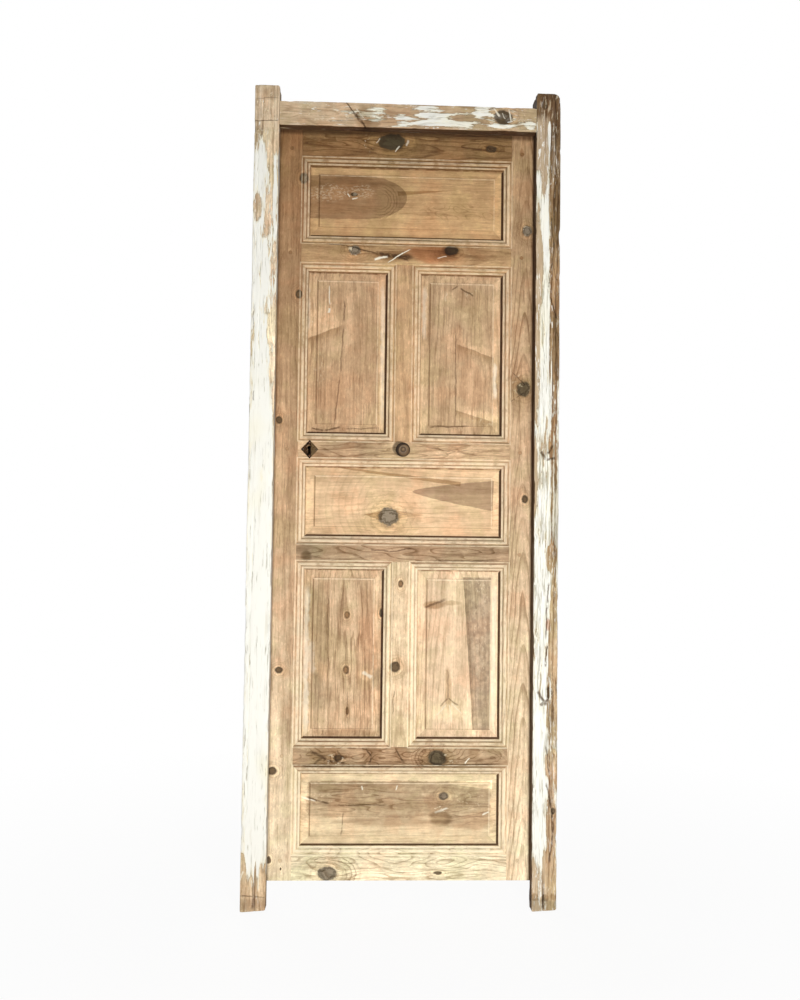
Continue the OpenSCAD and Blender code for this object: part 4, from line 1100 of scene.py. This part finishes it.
HEAD_PATCHES = [
    (377, 114, 10, 10, 0.3), (432, 108.5, 14, 2.6, 0.45), (436, 116, 20, 3.4, 0.5),
    (446, 123.5, 28, 3.2, 0.5), (408, 121, 14, 5, 0.35), (461, 109.5, 19, 3.2, -0.5),
    (466, 119, 12, 3.0, -0.35), (481, 111.5, 10, 5, 0.6), (501, 126.5, 12, 2.4, 0.6), (525, 115, 10, 7, -0.4),
    (531, 126, 7, 4, 0.5), (310, 113, 30, 12, -0.2), (503, 116, 9, 7, -0.5)]
# Marks over the paint, and of the head under it, in order
LOCK_MARKS = [
    ("blots", (254, 905, 18, 7, MOULD, 0.6), (273, 92, 8, 8, SMOKE, 0.5), (260, 93, 8, 8, BROWN, 0.2)),
    ("flecks", (268, 104, 13, 12, 0.9), (276, 113, 4, 9, 0.9), (266, 130, 10, 8, 0.7),
     (272, 378, 4, 16, 0.5)),
    ("cracks", ((253, 120.5), (280, 119.5), 0.7, 0.8), ((255, 98), (280, 97.5), 0.6, 0.5),
     ((239, 896), (266, 898), 1.0, 0.7), ((253, 880), (252.5, 911), 1.2, 0.8),
     ((253.5, 303), (253, 330), 0.7, 0.6), ((254, 390), (253.5, 401), 0.7, 0.7)),
    ("chips", ((259, 868), (258, 892), 1.1, 0.8), ((243, 871), (240, 881), 1.3, 0.8),
     ((251, 880), (252, 888), 0.9, 0.7))]
HINGE_MARKS = [
    ("blots", (543, 905, 18, 6, GREY, 0.8), (535, 897, 3.6, 3.6, BROWN, 0.9),
     (545, 898, 3.6, 3.6, BROWN, 0.9), (553, 897, 3.6, 3.6, BROWN, 0.9), (548, 625, 2.4, 6, DEEP_RED, 0.9),
     (552, 722, 5, 18, SMOKE, 0.5)),
    ("figure", (556, 320, 5, 240, 70, 5, 5, 1.0), (554, 720, 5, 170, 80, 7, 5, 1.0)),
    ("blots", (551, 96, 12, 6, SMOKE, 0.6), (556, 118, 4.5, 30, SMOKE, 0.7), (557, 212, 3.6, 44, SMOKE, 0.75),
     (557, 335, 3.4, 58, SMOKE, 0.7), (556, 520, 2.6, 60, SMOKE, 0.5)),
    ("long_flecks", (546, 108, 9, 24, 0.5), (558, 130, 4, 60, 0.45), (553, 640, 4, 90, 0.6),
     (553, 780, 4, 60, 0.5), (544, 890, 14, 2.5, 0.7)),
    ("cracks", ((541, 451), (546, 460), 2.0, 1.0), ((546, 460), (556, 458), 2.0, 1.0),
     ((548, 454), (553, 445), 1.7, 1.0), ((551, 215), (554, 250), 1.0, 0.9),
     ((554, 250), (551, 270), 1.0, 0.9), ((551, 270), (548, 288), 1.0, 0.9),
     ((550, 296), (557, 320), 1.1, 0.9), ((549, 582), (547, 604), 1.1, 0.9),
     ((547, 604), (546.5, 640), 1.2, 0.9), ((547.5, 645), (545.5, 668), 1.2, 1.0),
     ((537, 691), (547, 706), 2.2, 1.0), ((540, 706), (549, 699), 2.0, 1.0),
     ((546, 745), (549, 775), 1.0, 0.9), ((546, 782), (552, 812), 1.3, 0.9),
     ((552, 812), (553, 834), 1.2, 0.9), ((553, 834), (549, 864), 1.2, 0.9),
     ((543, 894), (543, 910), 1.1, 0.9))]
HEAD_BARE_MARKS = [
    ("knots", (503, 117.5, 8.0, 1.2, DARK_KNOT)),
    ("grain",),
    ("blots", (450, 115, 95, 16, BROWN, 0.5)),
    ("figure", (325, 114, 50, 13, 40, 6, 6, 0.5))]
HEAD_MARKS = [
    ("cracks", ((345, 101), (356, 115), 1.2, 1.0), ((355, 113), (367, 129), 1.8, 1.0)),
    ("blots", (364, 117, 9, 12, BROWN, 0.8), (371, 124, 9, 6, SMOKE, 0.6), (470, 107, 10, 2.5, BROWN, 0.6),
     (320, 122, 34, 3, BROWN, 0.4)),
    ("flecks", (334, 113, 18, 12, 0.9), (312, 112, 14, 10, 0.6), (378, 114, 9, 10, 0.6),
     (522, 116, 7, 8, 0.5)),
    ("chips", ((494, 108), (500, 117), 1.3, 0.9), ((499, 125), (508, 127), 1.3, 0.9),
     ((509, 109), (512, 122), 1.1, 0.8), ((502, 113), (506, 119), 0.8, 0.7),
     ((356, 108), (364, 118), 0.8, 0.6))]
TEETH_LOW, TEETH_HIGH = 0.26, 0.12
BEAM_RELIEF = 0.9 * MM


def patches(board, rows):
    """Sum of soft patches: centre pixel, half widths in pixels, weight."""
    g, total = board.g, 0.0
    for u, v, half_u, half_v, weight in rows:
        x, z = on_plane(u, v, board.plane)
        du = board.scaled(board.x, x, metres(half_u, board.plane))
        dv = board.scaled(board.z, z, metres(half_v, board.plane))
        total = g.smooth(du * du + dv * dv + board.blur * 0.5, 1.8, 0.2) * weight + total
    return total


SHADE_UNDER, CHECK_DIRT = (0.55, 0.47, 0.38), (0.28, 0.2, 0.14)


def paint_over(board, cover, flake=1.0, hair=0.0, arris=0.35, across=42, splash=0.12):
    """Lays old paint where the cover, from 0 to 1, is high; it is lost on the arrises and in the checks."""
    g = board.g
    groove, edge = g.attribute("groove"), g.attribute("arris")
    broad, small = board.waves(across, across * 0.13, 1, 4), board.waves(170, 20, 2, 4, 0.7)
    level = cover + (broad * 1.5 + small * 1.5) * flake - edge * arris * (small + 0.6) - groove * 1.4
    mask = g.smooth(level, 0.46, 0.54)
    shade = g.smooth(level, 0.36, 0.47) * (1.0 - mask)
    paint = g.tint((*PAINT, 1), g.smooth(board.waves(60, 5, 3, 4, 0.65), 0.06, 0.26) * 0.7, PAINT_DIRT)
    paint = g.tint(paint, g.smooth(board.waves(9, 4, 5, 2), 0.0, 0.2), PAINT_CREAM)
    paint = g.tint(paint, g.smooth(level, 0.82, 0.52) * 0.8, PAINT_EDGE)
    thin = g.smooth(board.waves(480, 11, 7, 2), hair - 0.12, hair - 0.20) * 0.8
    wide = g.smooth(board.waves(240, 13, 9), hair - 0.14, hair - 0.18)
    hairs = g.most(thin, wide) * g.smooth(level, 1.5, 0.7)
    paint = g.tint(paint, hairs * 0.8, PAINT_HAIR)
    fleck = g.smooth(board.waves(240, 40, 4, 3), splash, splash + 0.04) * g.smooth(broad, -0.08, 0.08)
    wash = g.smooth(small + broad * 0.6, -0.02, 0.22)
    under = g.mix(wash * 0.16, board.colour, (*PAINT, 1))
    under = g.tint(under, shade * 0.6, SHADE_UNDER)
    under = g.mix(fleck * 0.85, under, (*PAINT, 1))
    under = g.tint(under, groove, CHECK_DIRT)
    board.colour = g.mix(mask, under, paint)
    board.height = board.height * (1.0 - mask * 0.6) + mask * 1.1 - hairs * mask * 0.7
    return board


def shade_and_dirt_reveal(board, distance, strength):
    """Painted shade with some dirt on the inner side of the lip, where distance is under its arris."""
    g = board.g
    deep = g.smooth(board.y, FRAME_FACE + 0.002, FRAME_FACE + 0.006)
    board.lay(g.smooth(distance, 0.004, 0.0015) * deep * strength, REVEAL_SHADE_AND_DIRT)
    return board


def post_material(name, side, seed, tones, ring):
    board = Pine(name, "Z", tones, seed, FRAME_FACE, ring, 0.75, 1.3)
    if side < 0:
        board.knots([(265, 341, 1.8, 1.3), (249, 829, 2.0, 1.4)])
    else:
        board.knots([(549, 693, 4.0, 1.6), (553, 811, 2.4, 1.4), (545, 105, 3.0, 1.6)])
    return board.grain()


def foot_edge(board, low, high):
    """0 on a bare foot, 1 above it, with a toothed edge between two heights."""
    teeth = board.waves(190, 4, 11, 2) * board.g.smooth(board.z, TEETH_LOW, TEETH_HIGH)
    return board.g.smooth(board.z + teeth * 0.14, low, high)


def lock_cover(board):
    """White nearly all over: bare horn, ragged bare foot, and bare streaks on the upper part."""
    thin = board.g.smooth(board.z, 1.20, 1.65) * -LOCK_THIN
    return (patches(board, LOCK_PATCHES) + 1.0 + thin) * foot_edge(board, 0.045, 0.14)


def hinge_cover(board):
    """Broken white, with brown patches along the outer side; bare foot and dark bare horn."""
    return (patches(board, HINGE_PATCHES) + 0.80) * foot_edge(board, 0.07, 0.17)


def head_cover(board):
    """Bare on the left third, broken white strips on the rest."""
    return patches(board, HEAD_PATCHES) + board.g.smooth(board.x, -0.19, -0.09) * 0.21 + 0.12


def pale_inner_side(board):
    """Bare wood of the hinge post, paler beside the leaf."""
    g, split = board.g, on_plane(*INNER_SPLIT, FRAME_FACE)[0]
    inner = g.smooth(board.x + board.blur * SPLIT_BLUR, split + SPLIT_BLUR, split - SPLIT_BLUR)
    inner = inner * g.smooth(board.z, *HORN_FADE)
    pale = g.tint((*INNER_BARE, 1), g.smooth(board.fine, 0.06, -0.12) * 0.7, DARK_GRAIN)
    board.colour = g.mix(inner * 0.8, board.colour, pale)
    return board


def add_frame():
    lock = post_material("painted_lock_post", -1, 52.0, BARE_POST, (-0.38, 0.06, 0.011, 0.03))
    flake = lock.g.smooth(lock.z, 1.15, 1.60) * 0.65 + 0.75
    lock = shade_and_dirt_reveal(paint_over(lock, lock_cover(lock), flake), lock.x * -1.0 - POST_IN, 0.6)
    mesh = post_mesh("lock_post_worn", -1, LOCK_CHECKS, 5, [4.5 * MM, 3.0 * MM, 3.0 * MM, 0], 0.0)
    add_beam("lock_post", mesh, lock.marks(LOCK_MARKS))
    hinge = post_material("painted_hinge_post", 1, 57.0, BARE_HINGE, (0.43, 0.05, 0.010, 0.07))
    hinge = pale_inner_side(hinge)
    hinge = paint_over(hinge, hinge_cover(hinge), 1.25, 0.08, splash=0.07)
    hinge = shade_and_dirt_reveal(hinge, hinge.x - POST_IN, 1.0)
    mesh = post_mesh("hinge_post_worn", 1, HINGE_CHECKS, 8, [8.0 * MM, 3.0 * MM, 4.0 * MM, 0], 9 * MM)
    add_beam("hinge_post", mesh, hinge.marks(HINGE_MARKS))
    ring = (2.12, 0.05, 0.012, 0.05)
    head = Pine("painted_head", "X", flat(200, 174, 141), 61.0, FRAME_FACE, ring, 0.3, 0.7, 0.6)
    head.marks(HEAD_BARE_MARKS)
    head = shade_and_dirt_reveal(paint_over(head, head_cover(head), 1.45, 0.03, across=80), head.z - HEAD_LOW, 1.0)
    add_beam("frame_head", head_mesh("frame_head_worn"), head.marks(HEAD_MARKS))


def add_beam(node, mesh, board):
    new_piece(node + "_worn", mesh, "frame", "frame_pine", board.done(BEAM_RELIEF), node)


# Iron, pegs and the knob

RUSTY, IRON_SEED = 0.35, 3.0
IRON_SKIN, IRON_RUST = linear(74, 64, 54), linear(104, 68, 42)
IRON_PIT, IRON_RUB = (0.45, 0.40, 0.36), (1.6, 1.5, 1.4)
# Plate: left half darker as painted shade, right half paler as a painted highlight
PLATE_DARK, PLATE_LIT = linear(66, 45, 26), linear(104, 84, 58)
PLATE_PIT, PLATE_SLOT = (0.55, 0.46, 0.36), (0.14, 0.10, 0.07)
PEG_RING = (0.72, 0.64, 0.55)
KNOB_DARK, KNOB_WORN, KNOB_FACE = linear(50, 35, 22), linear(92, 70, 48), linear(126, 102, 74)
KNOB_LOW, KNOB_RING = (0.62, 0.54, 0.48), (0.30, 0.24, 0.18)
KNOB_SHADE, KNOB_LINE = (0.16, 0.12, 0.09), (0.6, 0.56, 0.5)


def iron_material():
    """Old iron: dark skin with rust patches and pits."""
    g = Graph("old_iron")
    x, y, z = g.place()
    patch = g.noise(g.vec(x * 90 + IRON_SEED, y * 90, z * 90), 4, 0.65)
    pits = g.noise(g.vec(x * 600 + IRON_SEED, y * 600, z * 600), 2, 0.6)
    share = g.smooth(patch, 0.62 - RUSTY * 0.3, 0.72 - RUSTY * 0.3)
    colour = g.mix(share, (*IRON_SKIN, 1), (*IRON_RUST, 1))
    colour = g.tint(colour, g.smooth(pits, 0.45, 0.30), IRON_PIT)
    colour = g.tint(colour, g.smooth(patch, 0.4, 0.3) * 0.6, IRON_RUB)
    return g.finish(colour, share * 0.25 + 0.55, pits * 0.6 + share * 0.4, 0.0004, 0.4, (1.0 - share) * 0.5)


def plate_material():
    """Rusty keyhole plate: its left half darker as painted shade, its right half paler as a painted
    highlight, dark round the keyhole.
    """
    g = Graph("rusty_plate")
    x, y, z = g.place()
    low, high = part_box("escutcheon")
    share = (x - low.x) / (high.x - low.x)
    patch = g.noise(g.vec(x * 160, y * 160, z * 160), 4, 0.65)
    # Share of the paler right half: a painted highlight
    pale_part = g.smooth(share + (patch - 0.5) * 0.3, 0.50, 0.60)
    colour = g.mix(pale_part, (*PLATE_DARK, 1), (*PLATE_LIT, 1))
    colour = g.tint(colour, g.smooth(patch, 0.50, 0.40) * 0.7, PLATE_PIT)
    slot = g.smooth(g.size(share - KEYHOLE_SHARE), 0.15, 0.09)
    colour = g.tint(colour, slot, PLATE_SLOT)
    return g.finish(colour, patch * 0.3 + 0.6, patch, 0.0005, 0.1)


def peg_material():
    g = Graph("peg_end_grain")
    x, y, z = g.place()
    ring = g.noise(g.vec(x * 900, y * 60, z * 900), 3, 0.6)
    base = g.ramp((z - LEAF_LOW) / (LEAF_HIGH - LEAF_LOW), stops(LOCK_STILE_TONES))
    colour = g.tint(base, g.smooth(ring, 0.6, 0.4), PEG_RING)
    return g.finish(colour, ring * 0.2 + 0.7, ring, 0.0004, 0.2)


def knob_material():
    """Dark turned wood, worn paler on its face, with turned rings round a small boss."""
    g = Graph("dark_turned_wood")
    x, y, z = g.place()
    low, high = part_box("pull_knob")
    wide = (high.x - low.x) / 2
    dx, dz = (x - (low.x + high.x) / 2) / wide, (z - (low.z + high.z) / 2) / wide
    far = g.root(dx * dx + dz * dz)
    wear = g.noise(g.vec(x * 120, y * 120, z * 120), 4, 0.6)
    turn = g.noise(g.vec(far * 14, y * 300, 0.0), 2, 0.6)
    colour = g.mix(g.smooth(wear, 0.35, 0.7), (*KNOB_DARK, 1), (*KNOB_WORN, 1))
    face = g.smooth(far, 0.92, 0.72) * g.smooth(y, low.y + 0.018, low.y + 0.008)
    low_side = g.smooth(dz - dx * 0.4 + wear, 0.6, 0.0) * 0.8
    pale_part = g.tint((*KNOB_FACE, 1), low_side, KNOB_LOW)
    colour = g.mix(face * 0.9, colour, pale_part)
    ring = g.smooth(g.size(far - 0.33), 0.09, 0.04) * face
    colour = g.tint(colour, ring * 0.85, KNOB_RING)
    shaded = g.smooth(far + (dz - dx) * 0.22, 0.62, 0.82)
    colour = g.tint(colour, shaded, KNOB_SHADE)
    colour = g.tint(colour, g.smooth(turn, 0.5, 0.35) * 0.5, KNOB_LINE)
    return g.finish(colour, wear * 0.25 + 0.4, turn * 0.5 + wear * 0.5, 0.0004, 0.35)


# Turned profile of the knob: shares of the reach from its seat to its tip, and of its radius
KNOB_PROFILE = [
    (0.0, 0.74), (0.03, 0.76), (0.07, 0.74), (0.10, 0.62), (0.14, 0.46), (0.24, 0.42), (0.34, 0.44),
    (0.40, 0.58), (0.43, 0.70), (0.455, 0.73), (0.47, 0.72), (0.50, 0.84), (0.56, 0.94), (0.63, 0.995),
    (0.68, 1.0), (0.73, 0.985), (0.79, 0.92), (0.84, 0.82), (0.88, 0.68), (0.905, 0.56), (0.915, 0.50),
    (0.912, 0.40), (0.908, 0.32), (0.915, 0.27), (0.94, 0.25), (0.97, 0.22), (0.99, 0.15), (1.0, 0.06)]
KNOB_TURNS, KNOB_WEAR = 72, 0.012
KEYHOLE_SHARE = 0.46


def knob_mesh():
    low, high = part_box("pull_knob")
    x, z = (low.x + high.x) / 2, (low.z + high.z) / 2
    reach, radius = high.y - low.y, (high.x - low.x) / 2
    bm = bmesh.new()
    rings = []
    for along, out in KNOB_PROFILE:
        ring = []
        for k in range(KNOB_TURNS):
            turn = 2 * math.pi * k / KNOB_TURNS
            cos, sin = math.cos(turn), math.sin(turn)
            worn = 1 - KNOB_WEAR * (1 + wave((cos, along * 2, sin), (1.5, 1.5, 1.5), 77)) * (along < 0.99)
            off = radius * out * worn
            ring.append(bm.verts.new((x + off * cos, high.y - reach * along, z + off * sin)))
        rings.append(ring)
    skin(bm, rings)
    return finished(bm, "pull_knob_turned", 60)


IRON_NODES = {
    "frame": ["keeper", "keeper_screws", "upper_hinge_frame_plate", "middle_hinge_frame_plate",
              "lower_hinge_frame_plate", "upper_hinge_pin", "middle_hinge_pin", "lower_hinge_pin",
              "hinge_frame_screws"],
    "leaf": ["escutcheon_nails", "knob_bolt", "knob_washer", "knob_nut", "lock_case", "lock_stud",
             "lock_spring", "lock_screws", "upper_hinge_leaf_plate", "middle_hinge_leaf_plate",
             "lower_hinge_leaf_plate", "hinge_leaf_screws"],
    "bolt": ["lock_bolt"]}
# Ends of the names of pieces whose edges are worn round
PLATES = ("hinge_frame_plate", "hinge_leaf_plate", "lock_case", "keeper", "lock_bolt", "knob_nut",
          "knob_washer")


def add_hardware():
    iron = iron_material()
    for body, nodes in IRON_NODES.items():
        for node in nodes:
            if node.endswith(PLATES):
                new_piece(node + "_worn", worn_mesh(node, IRON_BEVEL), body, "old_iron", iron, node)
            else:
                dress(node, iron)
    plate = worn_mesh("escutcheon", IRON_BEVEL)
    new_piece("escutcheon_worn", plate, "leaf", "rusty_plate", plate_material(), "escutcheon")
    peg = peg_material()
    dress("leaf_pegs", peg)
    dress("frame_pegs", peg)
    new_piece("pull_knob_turned", knob_mesh(), "leaf", "knob_wood", knob_material(), "pull_knob")


def dress(node, material):
    """Gives a CAD node a better material."""
    for slot in bpy.data.objects[node].material_slots:
        slot.material = material


# Floor, world and lamps

FLOOR_HALF = 9.0
FLOOR_TONE = (0.93, 0.93, 0.92, 1)
BACKDROP_NEAR = 0.93
FADE_START, FADE_END = 0.7, 2.2
AMBIENT = 0.345
WHITE = (1, 1, 1, 1)
SEEN_RAYS = ("Is Camera Ray", "Is Glossy Ray", "Is Transmission Ray")


def add_floor():
    mesh = bpy.data.meshes.new("floor")
    h = FLOOR_HALF
    mesh.from_pydata([(-h, -h, 0), (h, -h, 0), (h, h, 0), (-h, h, 0)], [], [(0, 1, 2, 3)])
    floor = bpy.data.objects.new("floor", mesh)
    bpy.context.collection.objects.link(floor)
    g = Graph("pale_floor")
    diffuse, glow = g.add("ShaderNodeBsdfDiffuse"), g.add("ShaderNodeEmission")
    g.feed(diffuse.inputs[0], FLOOR_TONE)
    far = g.add("ShaderNodeVectorMath", operation="LENGTH")
    g.feed(far.inputs[0], Val(g, g.add("ShaderNodeTexCoord").outputs["Object"]))
    fade = g.add("ShaderNodeMapRange")
    g.feed(fade.inputs["Value"], Val(g, far.outputs["Value"]))
    for key, value in (("From Min", FADE_START), ("From Max", FADE_END), ("To Min", BACKDROP_NEAR)):
        g.feed(fade.inputs[key], value)
    g.show(g.seen_directly() * Val(g, fade.outputs[0]), diffuse, glow, "ShaderNodeOutputMaterial")
    mesh.materials.append(g.owner)


def add_world():
    g = Graph("studio", "worlds")
    bpy.context.scene.world = g.owner
    soft, white = g.add("ShaderNodeBackground"), g.add("ShaderNodeBackground")
    for node, strength in ((soft, AMBIENT), (white, 1.0)):
        g.feed(node.inputs[0], WHITE)
        g.feed(node.inputs[1], strength)
    g.show(g.seen_directly(), soft, white, "ShaderNodeOutputWorld")


# Lamps: name, place, aim, size in metres, power in watts, colour
LAMPS = [
    ("key", (0.62, -2.95, 0.62), (0.0, 0.0, 1.05), 0.3, 64, (1.0, 0.99, 0.97)),
    ("back", (-1.4, 2.6, 1.9), (0.0, 0.0, 1.0), 1.6, 30, (1.0, 0.99, 0.97))]


def add_lamps():
    for name, place, aim, size, power, colour in LAMPS:
        data = bpy.data.lights.new(name, "AREA")
        data.size, data.energy, data.color = size, power, colour
        lamp = bpy.data.objects.new(name, data)
        bpy.context.collection.objects.link(lamp)
        lamp.location = place
        lamp.rotation_euler = (Vector(aim) - Vector(place)).to_track_quat("-Z", "Y").to_euler()


add_camera()
add_leaf()
add_frame()
add_hardware()
add_floor()
add_world()
add_lamps()
bpy.context.scene.view_settings.view_transform = "Standard"
